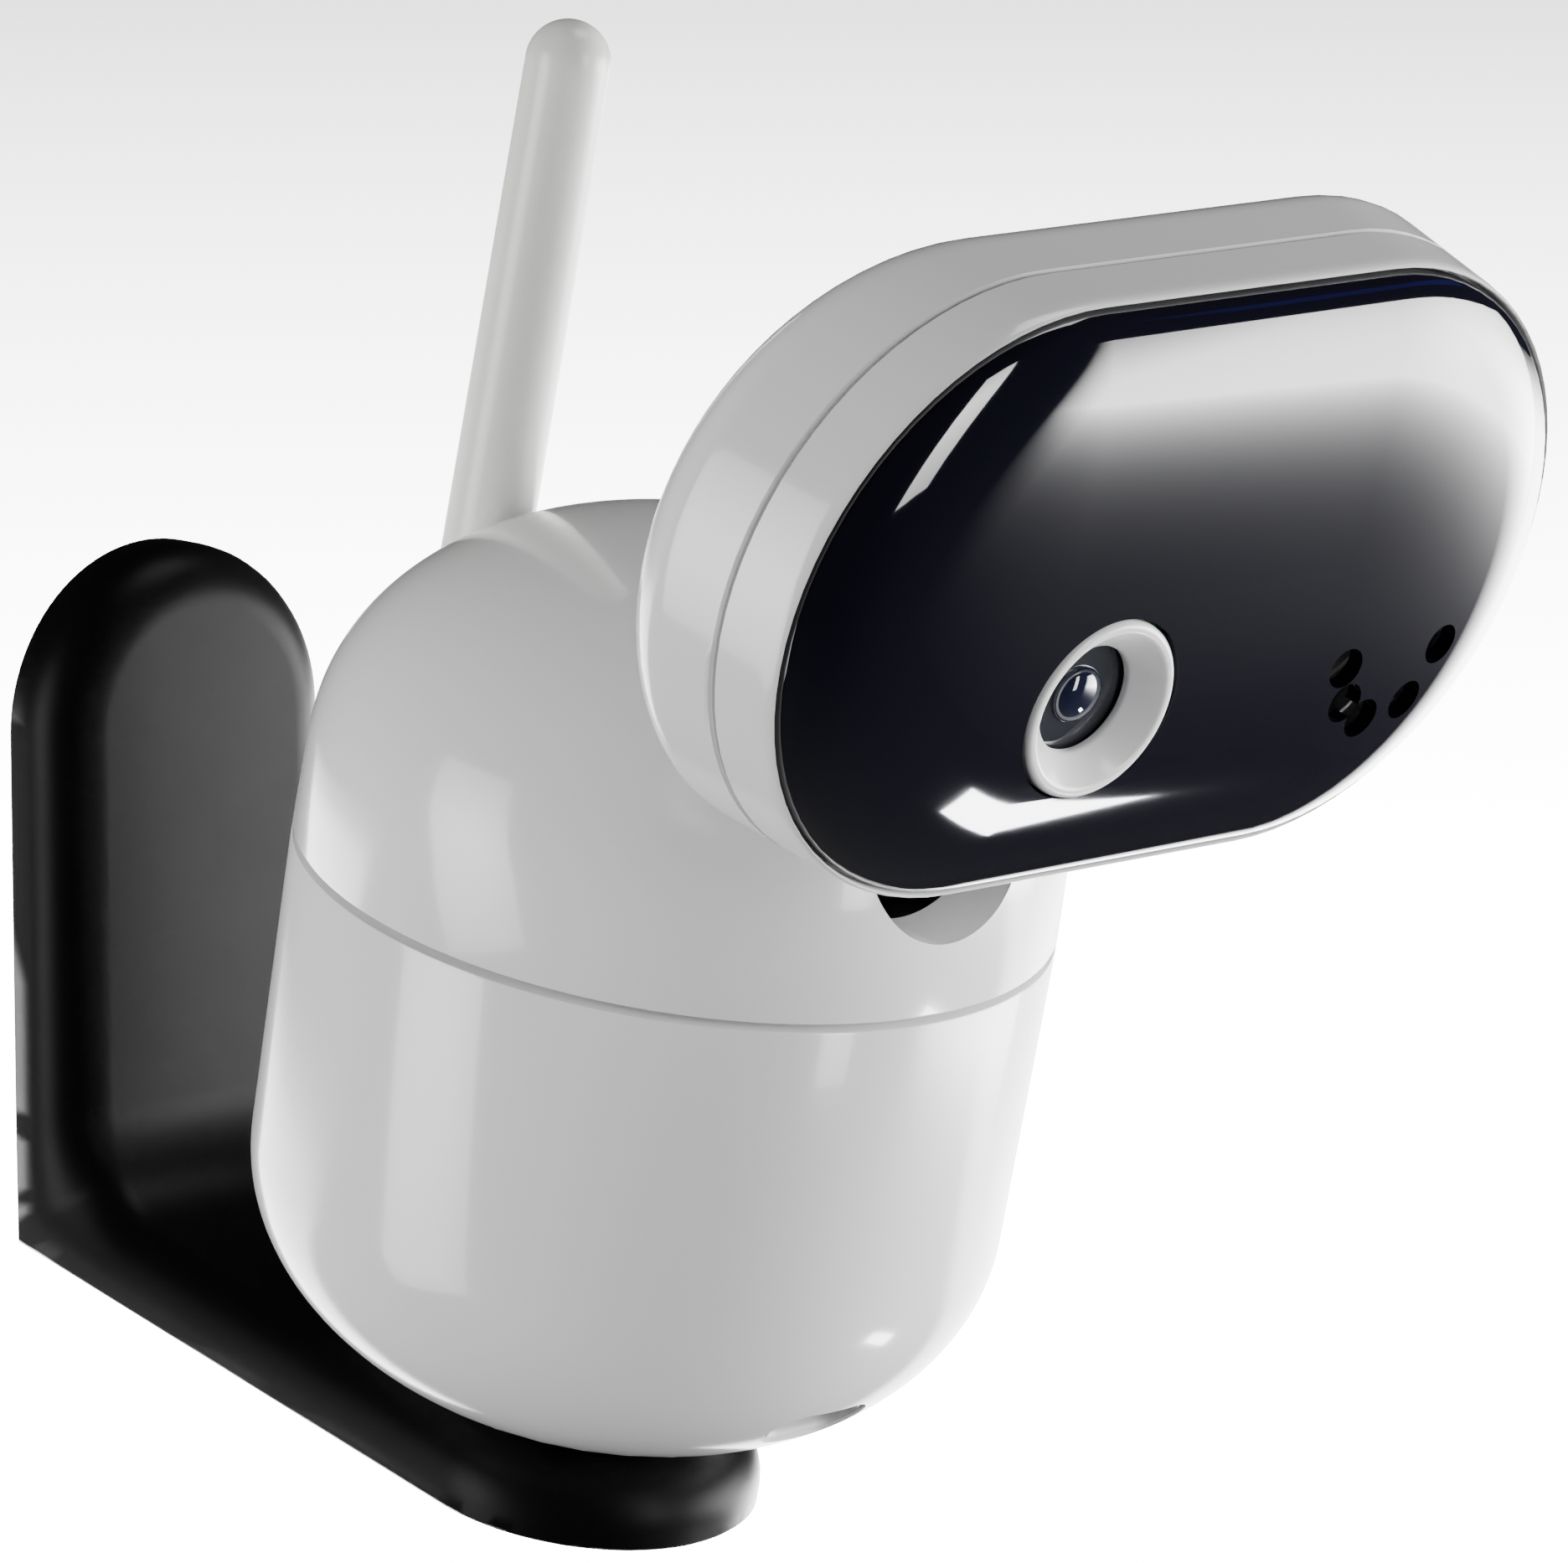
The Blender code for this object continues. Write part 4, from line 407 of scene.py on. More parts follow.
class Shape:
    """A mesh under construction, in its unit's own coordinates."""

    def __init__(self) -> None:
        """Starts an empty mesh."""
        self.mesh = bmesh.new()

    @classmethod
    def turned(cls, profile: Sequence[Point2], segments: int = ROUND) -> "Shape":
        """A closed profile turned round Z.

        Args:
            profile: (radius, height) points in order round the section.
            segments: steps round the turn.

        Returns:
            The turned shape.
        """
        made = cls()
        work = made.mesh
        ring = [work.verts.new((radius, 0.0, height)) for radius, height in profile]
        edges = [work.edges.new(pair) for pair in zip(ring, ring[1:] + ring[:1])]
        axial = [edge for edge in edges if all(vert.co.x < ON_AXIS for vert in edge.verts)]
        swept = [edge for edge in edges if edge not in axial]
        bmesh.ops.spin(work, geom=swept, cent=(0, 0, 0), axis=(0, 0, 1),
                       angle=math.tau, steps=segments, use_merge=True)
        bmesh.ops.delete(work, geom=axial, context="EDGES")
        bmesh.ops.remove_doubles(work, verts=work.verts, dist=1e-8)
        return made

    @classmethod
    def prism(cls, outline: Sequence[Point2], low: float, high: float) -> "Shape":
        """An outline pushed along Z.

        Args:
            outline: closed (x, y) outline.
            low: lower end.
            high: upper end.

        Returns:
            The prism.
        """
        made = cls()
        work = made.mesh
        face = work.faces.new([work.verts.new((x, y, low)) for x, y in outline])
        lifted = bmesh.ops.extrude_face_region(work, geom=[face])["geom"]
        tops = [item for item in lifted if isinstance(item, bmesh.types.BMVert)]
        bmesh.ops.translate(work, verts=tops, vec=(0, 0, high - low))
        return made

    @classmethod
    def lofted(cls, rings: Sequence[Sequence[Sequence[float]]], closed: bool) -> "Shape":
        """A skin through rings of equal length.

        Args:
            rings: lists of points.
            closed: whether the last ring joins the first; if not, both ends are capped.

        Returns:
            The skinned shape.
        """
        made = cls()
        work = made.mesh
        rows = [[work.verts.new(point) for point in ring] for ring in rings]
        pairs = list(zip(rows, rows[1:]))
        if closed:
            pairs.append((rows[-1], rows[0]))
        for lower, upper in pairs:
            for here in range(len(lower)):
                there = (here + 1) % len(lower)
                work.faces.new((lower[here], lower[there], upper[there], upper[here]))
        if not closed:
            work.faces.new(rows[0])
            work.faces.new(list(reversed(rows[-1])))
        return made

    def aimed(self, turn: Matrix, shift: Sequence[float] = (0, 0, 0)) -> "Shape":
        """The same shape, turned and then shifted.

        Args:
            turn: the turn about the origin.
            shift: the shift after it.

        Returns:
            This shape.
        """
        bmesh.ops.transform(self.mesh, matrix=Matrix.Translation(shift) @ turn.to_4x4(),
                            verts=self.mesh.verts)
        return self

    def object(self, name: str, pose: Pose, angle: float = 40.0) -> Piece:
        """The shape as an object whose mesh is in world coordinates.

        Args:
            name: object name.
            pose: the frame the shape was made in.
            angle: edges sharper than this stay sharp, in degrees.

        Returns:
            The linked object.
        """
        bmesh.ops.transform(self.mesh, matrix=pose.matrix, verts=self.mesh.verts)
        bmesh.ops.remove_doubles(self.mesh, verts=self.mesh.verts, dist=MERGE)
        bmesh.ops.recalc_face_normals(self.mesh, faces=self.mesh.faces)
        data = bpy.data.meshes.new(name)
        self.mesh.to_mesh(data)
        self.mesh.free()
        data.shade_smooth()
        data.set_sharp_from_angle(angle=math.radians(angle))
        return linked(name, data)


WORLD = Pose(Matrix.Identity(4))
ALONG_X = Matrix.Rotation(QUARTER, 3, "Y")
ALONG_FRONT = Matrix.Rotation(QUARTER, 3, "X")
ALONG_BACK = Matrix.Rotation(-QUARTER, 3, "X")
SIDEWAYS = Matrix(((0, 0, 1), (1, 0, 0), (0, 1, 0)))


def arc(centre: Point2, radius: float, start: float, sweep: float, steps: int) -> list[Point2]:
    """Points round an arc.

    Args:
        centre: its centre.
        radius: its radius.
        start: angle of its first point, in radians.
        sweep: angle that it turns through.
        steps: steps round it.

    Returns:
        One more point than steps.
    """
    angles = [start + sweep * step / steps for step in range(steps + 1)]
    return [(centre[0] + radius * math.cos(angle), centre[1] + radius * math.sin(angle))
            for angle in angles]


def stadium(half_spine: float, radius: float, steps: int = CAP_STEPS) -> list[Point2]:
    """Two half circles joined over a spine along the first axis.

    Args:
        half_spine: half the straight part.
        radius: of the round ends.
        steps: steps round each end.

    Returns:
        The closed outline.
    """
    return (arc((half_spine, 0.0), radius, -QUARTER, math.pi, steps)
            + arc((-half_spine, 0.0), radius, QUARTER, math.pi, steps))


def rod(radius: float, low: float, high: float, segments: int = 48) -> Shape:
    """A round bar along Z."""
    return Shape.turned([(0, low), (radius, low), (radius, high), (0, high)], segments)


def block(half: float, y: Point2, z: Point2) -> Shape:
    """A block centred on X."""
    return Shape.prism([(-half, y[0]), (half, y[0]), (half, y[1]), (-half, y[1])], *z)


FLAT_ENOUGH = math.radians(150.0)
SIDE_SHARE = 0.45


def rounded(profile: Sequence[Point2], radius: float, steps: int = 3) -> list[Point2]:
    """A closed profile with its corners off the axis rounded.

    Args:
        profile: corner points.
        radius: rounding radius, less where the sides are short.
        steps: points per corner.

    Returns:
        The rounded profile.
    """
    made: list[Point2] = []
    count = len(profile)
    for index, here in enumerate(profile):
        before = Vector(profile[index - 1])
        after = Vector(profile[(index + 1) % count])
        corner = Vector(here)
        back = before - corner
        ahead = after - corner
        if here[0] < ON_AXIS or back.angle(ahead) > FLAT_ENOUGH:
            made.append(here)
            continue
        reach = min(radius, back.length * SIDE_SHARE, ahead.length * SIDE_SHARE)
        start = corner + back.normalized() * reach
        end = corner + ahead.normalized() * reach
        for step in range(steps + 1):
            share = step / steps
            point = start * (1 - share) ** 2 + corner * 2 * share * (1 - share) + end * share ** 2
            made.append((point.x, point.y))
    return made


SAME_SURFACE = 0.00002
SAME_FACING = 0.9
CUT_ANGLE = math.radians(30.0)


def corner_normals(data: bpy.types.Mesh) -> np.ndarray:
    """A mesh's shading normals.

    Args:
        data: the mesh.

    Returns:
        One row for each face corner.
    """
    normals = np.empty(len(data.loops) * 3, dtype=np.float32)
    data.corner_normals.foreach_get("vector", normals)
    return normals.reshape(-1, 3)


def blended_normal(data: bpy.types.Mesh, normals: np.ndarray, face: int, place: Vector) -> Vector:
    """The shading normal at a place on a face.

    Args:
        data: the mesh.
        normals: its corner normals.
        face: the face's number.
        place: the place.

    Returns:
        The mean of the face's corner normals, weighted towards the nearest.
    """
    total = Vector((0.0, 0.0, 0.0))
    for corner in data.polygons[face].loop_indices:
        away = (data.vertices[data.loops[corner].vertex_index].co - place).length
        total += Vector(normals[corner].tolist()) / (away + 1e-6)
    return total.normalized()


def keep_shading(data: bpy.types.Mesh, before: bpy.types.Mesh) -> None:
    """Gives a cut mesh the shading that it had wherever its surface is still the old one.

    Args:
        data: the cut mesh.
        before: the mesh before the cut.
    """
    tree = BVHTree.FromPolygons([vert.co for vert in before.vertices],
                                [tuple(poly.vertices) for poly in before.polygons])
    old_normals = corner_normals(before)
    normals = corner_normals(data)
    for poly in data.polygons:
        for loop in poly.loop_indices:
            place = data.vertices[data.loops[loop].vertex_index].co
            _, facing, face, distance = tree.find_nearest(place)
            if distance <= SAME_SURFACE and facing.dot(poly.normal) >= SAME_FACING:
                normals[loop] = blended_normal(before, old_normals, face, place)
    data.normals_split_custom_set(normals.tolist())


def cut(target: Piece, others: Sequence[tuple[Piece, str]]) -> None:
    """Applies Booleans to target, and keeps its smooth shading over the cut faces.

    Args:
        target: the object to change.
        others: (tool, operation) pairs; the tools are removed afterwards.
    """
    for tool, operation in others:
        modifier = target.modifiers.new("cut", "BOOLEAN")
        modifier.operation = operation
        modifier.object = tool
        modifier.solver = "EXACT"
    graph = bpy.context.evaluated_depsgraph_get()
    data = bpy.data.meshes.new_from_object(target.evaluated_get(graph))
    target.modifiers.clear()
    for tool, _ in others:
        bpy.data.objects.remove(tool)
    data.shade_smooth()
    data.set_sharp_from_angle(angle=CUT_ANGLE)
    keep_shading(data, target.data)
    target.data = data


def shown(obj: Piece, finish: Finish, body: Body, *nodes: str) -> Piece:
    """Gives a piece its finish and its body, in place of the CAD nodes it stands for.

    Args:
        obj: the piece.
        finish: its finish.
        body: the body that it rides on.
        nodes: the CAD nodes that it replaces, if any.

    Returns:
        The piece.
    """
    obj.data.materials.clear()
    obj.data.materials.append(finish.material())
    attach(obj, body.value)
    if nodes:
        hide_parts(*nodes)
    return obj


# ------------------------------------------------------------------------------------ bracket
class Stretch(Enum):
    """The stretches of the bracket, from the plate's tip to the shelf's."""

    PLATE = "plate"
    BEND = "bend"
    SHELF = "shelf"


@dataclass
class WallBracket:
    """The L bracket: plate, leaning shelf and a soft inner corner.

    Args:
        width: across the plate.
        edge: radius of the rounded front edges.
        fillet: radius of the inner corner.
        bevel: width of the bevel along the back edges.
        edge_steps: steps round a front edge.
        end_steps: steps round a rounded end.
        flat_steps: steps along a flat.
        bend_steps: steps round the inner corner.
        keyholes: heights of the two keyholes' heads.
        keyhole_rise: from a keyhole's head up to its slot.
        keyhole_head: radius of a keyhole's head.
        keyhole_slot: half the width of its slot.
        screw_hole: radius of the lock screw's hole.
        recess: radius and height of the recess for its head.
    """

    width: float = 0.0350
    edge: float = 0.0056
    fillet: float = 0.0105
    bevel: float = 0.0004
    edge_steps: int = 8
    end_steps: int = 24
    flat_steps: int = 6
    bend_steps: int = 20
    keyholes: Point2 = (0.0130, -0.0210)
    keyhole_rise: float = 0.0040
    keyhole_head: float = 0.0042
    keyhole_slot: float = 0.0021
    screw_hole: float = 0.0033
    recess: Point2 = (0.0068, -0.0042)

    def _inner_corner(self) -> tuple[Vector, float]:
        """The point where plate and shelf meet inside.

        Returns:
            The point, and the distance from it to where the fillet starts.
        """
        shelf_top = CORNER + RISE * SHELF_THICKNESS
        inner = shelf_top + OUT * ((PLATE_THICKNESS + shelf_top.y) / math.cos(LEAN))
        return inner, self.fillet / math.tan((QUARTER + LEAN) / 2.0)

    def _bend_point(self, share: float, height: float) -> Vector:
        """A point in the side view of the bend.

        Args:
            share: how far round the bend, from 0 to 1.
            height: from the back face (0) to the front face (1).

        Returns:
            The point.
        """
        inner, tangent = self._inner_corner()
        on_plate = inner + Vector((0.0, 0.0, tangent))
        on_shelf = inner + OUT * tangent
        middle = on_shelf + RISE * self.fillet
        turn = Matrix.Rotation(-(QUARTER - LEAN) * share, 3, "X")
        front = middle + turn @ (on_plate - middle)
        if share < 0.5:
            back = Vector((0.0, 0.0, on_plate.z + (CORNER.z - on_plate.z) * share * 2.0))
        else:
            back = CORNER + OUT * ((on_shelf - CORNER).dot(OUT) * (share - 0.5) * 2.0)
        return back.lerp(front, height)

    def _point(self, stretch: Stretch, along: float, height: float) -> Vector:
        """A point in the side view.

        Args:
            stretch: the part of the bracket.
            along: distance down the plate or out along the shelf, or the share of the bend.
            height: from the back face (0) to the front face (1).

        Returns:
            The point.
        """
        if stretch is Stretch.PLATE:
            return Vector((0.0, -PLATE_THICKNESS * height, PLATE_HEIGHT / 2.0 - along))
        if stretch is Stretch.SHELF:
            return CORNER + OUT * along + RISE * (SHELF_THICKNESS * height)
        return self._bend_point(along, height)

    def _stations(self) -> list[tuple[Stretch, float, float, float]]:
        """The cross-sections from the plate's tip to the shelf's.

        Returns:
            For each, its stretch, its place along it, and the sine and cosine of the rounded end.
        """
        half = self.width / 2.0
        inner, tangent = self._inner_corner()
        plate_run = PLATE_HEIGHT / 2.0 - (inner.z + tangent) - half
        shelf_start = (inner - CORNER).dot(OUT) + tangent
        shelf_end = SHELF_LENGTH - half
        rows: list[tuple[Stretch, float, float, float]] = []
        for step in range(self.end_steps + 1):
            angle = QUARTER * (1.0 - step / self.end_steps)
            rows.append((Stretch.PLATE, half, math.sin(angle), math.cos(angle)))
        for step in range(1, self.flat_steps + 1):
            rows.append((Stretch.PLATE, half + plate_run * step / self.flat_steps, 0.0, 1.0))
        for step in range(1, self.bend_steps):
            rows.append((Stretch.BEND, step / self.bend_steps, 0.0, 1.0))
        for step in range(self.flat_steps + 1):
            reach = shelf_start + (shelf_end - shelf_start) * step / self.flat_steps
            rows.append((Stretch.SHELF, reach, 0.0, 1.0))
        for step in range(1, self.end_steps + 1):
            angle = QUARTER * step / self.end_steps
            rows.append((Stretch.SHELF, shelf_end, math.sin(angle), math.cos(angle)))
        return rows

    def _edge_levels(self) -> list[tuple[float, float, float]]:
        """The section's outline from its back edge to its front face.

        Returns:
            For each point, its inset, its face (0 behind, 1 in front) and its height over that.
        """
        levels = [(self.bevel, 0.0, 0.0), (0.0, 0.0, self.bevel)]
        for step in range(self.edge_steps + 1):
            angle = QUARTER * step / self.edge_steps
            levels.append((self.edge * (1.0 - math.cos(angle)), 1.0,
                           -self.edge * (1.0 - math.sin(angle))))
        return levels

    def _ring(self, station: tuple[Stretch, float, float, float]) -> list[Sequence[float]]:
        """The closed cross-section at a station.

        Args:
            station: one row of _stations.

        Returns:
            The points round it.
        """
        stretch, along, sine, cosine = station
        half = self.width / 2.0
        thick = {Stretch.PLATE: PLATE_THICKNESS, Stretch.SHELF: SHELF_THICKNESS,
                 Stretch.BEND: PLATE_THICKNESS + (SHELF_THICKNESS - PLATE_THICKNESS) * along}
        outward = -1.0 if stretch is Stretch.PLATE else 1.0
        sides = []
        for side in (-1, 1):
            row = []
            for inset, face, height in self._edge_levels():
                reach = along + outward * (half - inset) * sine
                point = self._point(stretch, reach, face + height / thick[stretch])
                row.append((side * (half - inset) * cosine, point.y, point.z))
            sides.append(row)
        return sides[0] + sides[1][::-1]

    def _keyhole(self, low: float) -> list[Shape]:
        """The tools that cut a keyhole and the room behind its slot.

        Args:
            low: height of the keyhole's head.

        Returns:
            The head, the slot and the room for the screw's head.
        """
        slot_height = low + self.keyhole_rise
        outlines = [[(x, y) for y, x in stadium(self.keyhole_rise, half, 12)]
                    for half in (self.keyhole_slot, self.keyhole_head)]
        head = rod(self.keyhole_head, -0.001, 0.0028).aimed(ALONG_FRONT, (0, 0, low))
        slot = Shape.prism(outlines[0], -0.0015, 0.0033).aimed(ALONG_FRONT, (0, 0, slot_height))
        room = Shape.prism(outlines[1], 0.0, 0.0030).aimed(ALONG_FRONT, (0, -0.0018, slot_height))
        return [head, slot, room]

    def build(self) -> list[Piece]:
        """Skins the bracket, cuts its keyholes and the lock screw's hole.

        Returns:
            The bracket.
        """
        rings = [self._ring(station) for station in self._stations()]
        bracket = Shape.lofted(rings, closed=False).object("wall_bracket_looks", WORLD, 50.0)
        tools = [shape.object("keyhole", WORLD) for low in self.keyholes
                 for shape in self._keyhole(low)]
        tools.append(rod(self.screw_hole, -THROUGH, 0.002).object("hole", SEAT))
        tools.append(rod(self.recess[0], -THROUGH, self.recess[1]).object("recess", SEAT))
        cut(bracket, [(tool, "DIFFERENCE") for tool in tools])
        return [shown(bracket, BLACK, Body.BASE, "wall_bracket")]


# ------------------------------------------------------------------------------- camera body
@dataclass(frozen=True)
class BodyCurve:
    """The outline of the camera's body, as radii over heights above the seat.

    Args:
        radius: at the seam.
        seam: height of the seam.
        bowl_top: height where the bowl starts to close.
        bowl_radius: radius there.
        bowl_depth: from there to the bowl's lowest point.
        bowl_power: how square the bowl's curve is; 2 for an ellipse.
        dome_base: height where the dome starts to close.
        dome_radius: radius there.
        dome_rise: from there to the crown.
        dome_power: how square the dome's curve is.
    """

    radius: float = 0.0360
    seam: float = 0.0540
    bowl_top: float = 0.0243
    bowl_radius: float = 0.0356
    bowl_depth: float = 0.0245
    bowl_power: float = 2.05
    dome_base: float = 0.0620
    dome_radius: float = 0.0358
    dome_rise: float = 0.0257
    dome_power: float = 2.15

    def bowl(self, height: float, inset: float = 0.0) -> float:
        """Radius of the lower shell at a height.

        Args:
            height: above the seat.
            inset: how far inside the outer face.

        Returns:
            The radius.
        """
        if height >= self.bowl_top:
            share = (height - self.bowl_top) / (self.seam - self.bowl_top)
            return self.bowl_radius + (self.radius - self.bowl_radius) * share - inset
        down = (self.bowl_top - height) / (self.bowl_depth - inset)
        full = max(0.0, 1.0 - down ** self.bowl_power)
        return (self.bowl_radius - inset) * full ** (1.0 / self.bowl_power)

    def dome(self, height: float, inset: float = 0.0) -> float:
        """Radius of the upper shell at a height.

        Args:
            height: above the seat.
            inset: how far inside the outer face.

        Returns:
            The radius.
        """
        if height <= self.dome_base:
            share = (height - self.seam) / (self.dome_base - self.seam)
            return self.radius + (self.dome_radius - self.radius) * share - inset
        up = (height - self.dome_base) / (self.dome_rise - inset)
        full = max(0.0, 1.0 - up ** self.dome_power)
        return (self.dome_radius - inset) * full ** (1.0 / self.dome_power)

    def bowl_points(self, inset: float, low: float, steps: int = 40) -> list[Point2]:
        """Points down the bowl.

        Args:
            inset: how far inside the outer face.
            low: height of the last point.
            steps: steps down it.

        Returns:
            (radius, height) points.
        """
        depth = self.bowl_depth - inset
        reach = min(1.0, (self.bowl_top - low) / depth)
        last = math.asin(reach ** (self.bowl_power / 2.0))
        points = []
        for step in range(steps + 1):
            drop = math.sin(last * step / steps) ** (2.0 / self.bowl_power)
            height = self.bowl_top - depth * drop
            points.append((self.bowl(height, inset), height))
        return points

    def dome_points(self, inset: float, low: float, steps: int = 48) -> list[Point2]:
        """Points up the dome to the crown.

        Args:
            inset: how far inside the outer face.
            low: height of the first point.
            steps: steps up it.

        Returns:
            (radius, height) points.
        """
        points = [(self.dome(low, inset), low)]
        rise = self.dome_rise - inset
        for step in range(steps + 1):
            up = math.sin(QUARTER * step / steps) ** (2.0 / self.dome_power)
            height = self.dome_base + rise * up
            points.append((0.0 if step == steps else self.dome(height, inset), height))
        return points

    def bowl_slope(self, height: float) -> float:
        """How far the bowl's outer face leans under.

        Args:
            height: above the seat.

        Returns:
            The angle at that height, in radians.
        """
        power = self.bowl_power - 1.0
        down = (self.bowl_top - height) / self.bowl_depth
        slope_out = (self.bowl(height) / self.bowl_radius) ** power / self.bowl_radius
        return math.atan2(down ** power / self.bowl_depth, slope_out)


CURVE = BodyCurve()


@dataclass
class BaseUnit:
    """The lower shell, its power inlet, the pairing button and the rubber foot.

    Args:
        wall: shell thickness.
        bottom: height of the shell's lower edge.
        ledge: width and height of the ledge that holds the base cap.
        lip: outer radius of the lip in the seam.
        lip_inner: its inner radius.
        lip_rise: how far it stands over the shell's edge.
        inlet_height: centre of the inlet.
        inlet_size: its length and width.
        inlet_depth: how far in its floor lies.
        socket: half length and half width of the socket's mouth.
        button_height: centre of the pairing button.
        button_radius: its radius.
        button_flange: radius of its flange.
        foot_ring: inner and outer radius of the rubber foot.
        foot_height: its bottom and top.
    """

    wall: float = 0.0022
    bottom: float = 0.0049
    ledge: Point2 = (0.0026, 0.0020)
    lip: float = 0.0335
    lip_inner: float = 0.0322
    lip_rise: float = 0.0009
    inlet_height: float = 0.0103
    inlet_size: Point2 = (0.0115, 0.0066)
    inlet_depth: float = 0.0062
    socket: Point2 = (0.0042, 0.0017)
    button_height: float = 0.0320
    button_radius: float = 0.0032
    button_flange: float = 0.0040
    foot_ring: Point2 = (0.0078, 0.0118)
    foot_height: Point2 = (0.0003, 0.0013)

    def inlet_pose(self) -> Pose:
        """The inlet's frame: on the bowl's surface, +Z out of it."""
        below = CURVE.bowl_slope(self.inlet_height)
        return SEAT.moved((0.0, -CURVE.bowl(self.inlet_height), self.inlet_height), QUARTER + below)

    def _shell_profile(self) -> list[Point2]:
        """The shell's section.

        Returns:
            (radius, height) points: down the outside, over the ledge, up the inside to the lip.
        """
        top = CURVE.seam - SEAM_HALF
        low = self.bottom
        edge = CURVE.bowl(top)
        soft = SEAM_EDGE
        hole = CURVE.bowl(low) - self.ledge[0]
        floor = low + self.ledge[1]
        inside = CURVE.bowl(CURVE.seam, self.wall)
        profile = [(edge - soft, top), (edge - soft * 0.3, top - soft * 0.3), (edge, top - soft)]
        profile += CURVE.bowl_points(0.0, low)
        profile += [(hole, low), (hole, floor)]
        profile += CURVE.bowl_points(self.wall, floor, 16)[::-1]
        profile += [(inside, CURVE.bowl_top + 0.01), (inside, top - 0.0040),
                    (self.lip_inner, top - 0.0030), (self.lip_inner, top + self.lip_rise),
                    (self.lip, top + self.lip_rise), (self.lip, top)]
        return profile

    def _inlet_outline(self, narrower: float = 0.0) -> list[Point2]:
        """The inlet's outline, narrower all round by a length."""
        length, width = self.inlet_size
        return stadium((length - width) / 2.0, width / 2.0 - narrower, 24)

    def shell(self) -> Piece:
        """The bowl, with its inlet and button openings.

        Returns:
            The lower shell.
        """
        shell = Shape.turned(self._shell_profile()).object("lower_shell_looks", SEAT)
        mouth = Shape.prism(self._inlet_outline(), -0.009, 0.006)
        opening = rod(self.button_radius + GAP, 0.025, 0.045)
        opening.aimed(ALONG_BACK, (0, 0, self.button_height))
        cut(shell, [(mouth.object("mouth", self.inlet_pose()), "DIFFERENCE"),
                    (opening.object("button", SEAT), "DIFFERENCE")])
        return shown(shell, WHITE, Body.BASE, "lower_shell")

    def inlet(self) -> Piece:
        """The inlet's cup, with a softly rounded rim and a socket mouth in its floor.

        Returns:
            The cup.
        """
        floor = -self.inlet_depth
        sections = ((floor - 0.0012, 0.0), (-0.0010, 0.0), (-0.0007, 0.0002), (-0.0006, 0.0004),
                    (-0.0008, 0.00055), (-0.0012, 0.00062), (floor + 0.0004, 0.0009),
                    (floor, 0.0013))
        rings = [[(x, y, depth) for x, y in self._inlet_outline(GAP + narrower)]
                 for depth, narrower in sections]
        cup = Shape.lofted(rings, closed=False).object("inlet_cup_looks", self.inlet_pose(), 50.0)
        half_length, half_width = self.socket
        slit = block(half_length, (-half_width, half_width), (-0.012, floor + 0.0012))
        cut(cup, [(slit.object("slit", self.inlet_pose()), "DIFFERENCE")])
        return shown(cup, GREY, Body.BASE, "inlet_cup")

    def button(self) -> Piece:
        """The pairing button behind, with a shallow dish in its face.

        Returns:
            The button.
        """
        face = CURVE.bowl(self.button_height) + 0.0005
        back = face - 0.0046
        shoulder = face - 0.0036
        profile = [(0, back), (self.button_flange, back), (self.button_flange, shoulder),
                   (self.button_radius, shoulder), (self.button_radius, face), (0.0018, face),
                   (0.0012, face - 0.0003), (0, face - 0.0004)]
        shape = Shape.turned(rounded(profile, 0.0004), 64)
        obj = shape.aimed(ALONG_BACK, (0, 0, self.button_height)).object("pair_button_looks", SEAT)
        return shown(obj, GREY, Body.BUTTON, "pair_button")

    def foot(self) -> Piece:
        """The rubber ring under the bowl.

        Returns:
            The foot.
        """
        inner, outer = self.foot_ring
        low, high = self.foot_height
        profile = rounded([(inner, low), (outer, low), (outer, high), (inner, high)], 0.0003)
        obj = Shape.turned(profile, FINE_ROUND).object("base_foot_looks", SEAT)
        return shown(obj, RUBBER, Body.BASE, "base_foot")

    def build(self) -> list[Piece]:
        """Every piece of the base."""
        return [self.shell(), self.inlet(), self.button(), self.foot()]


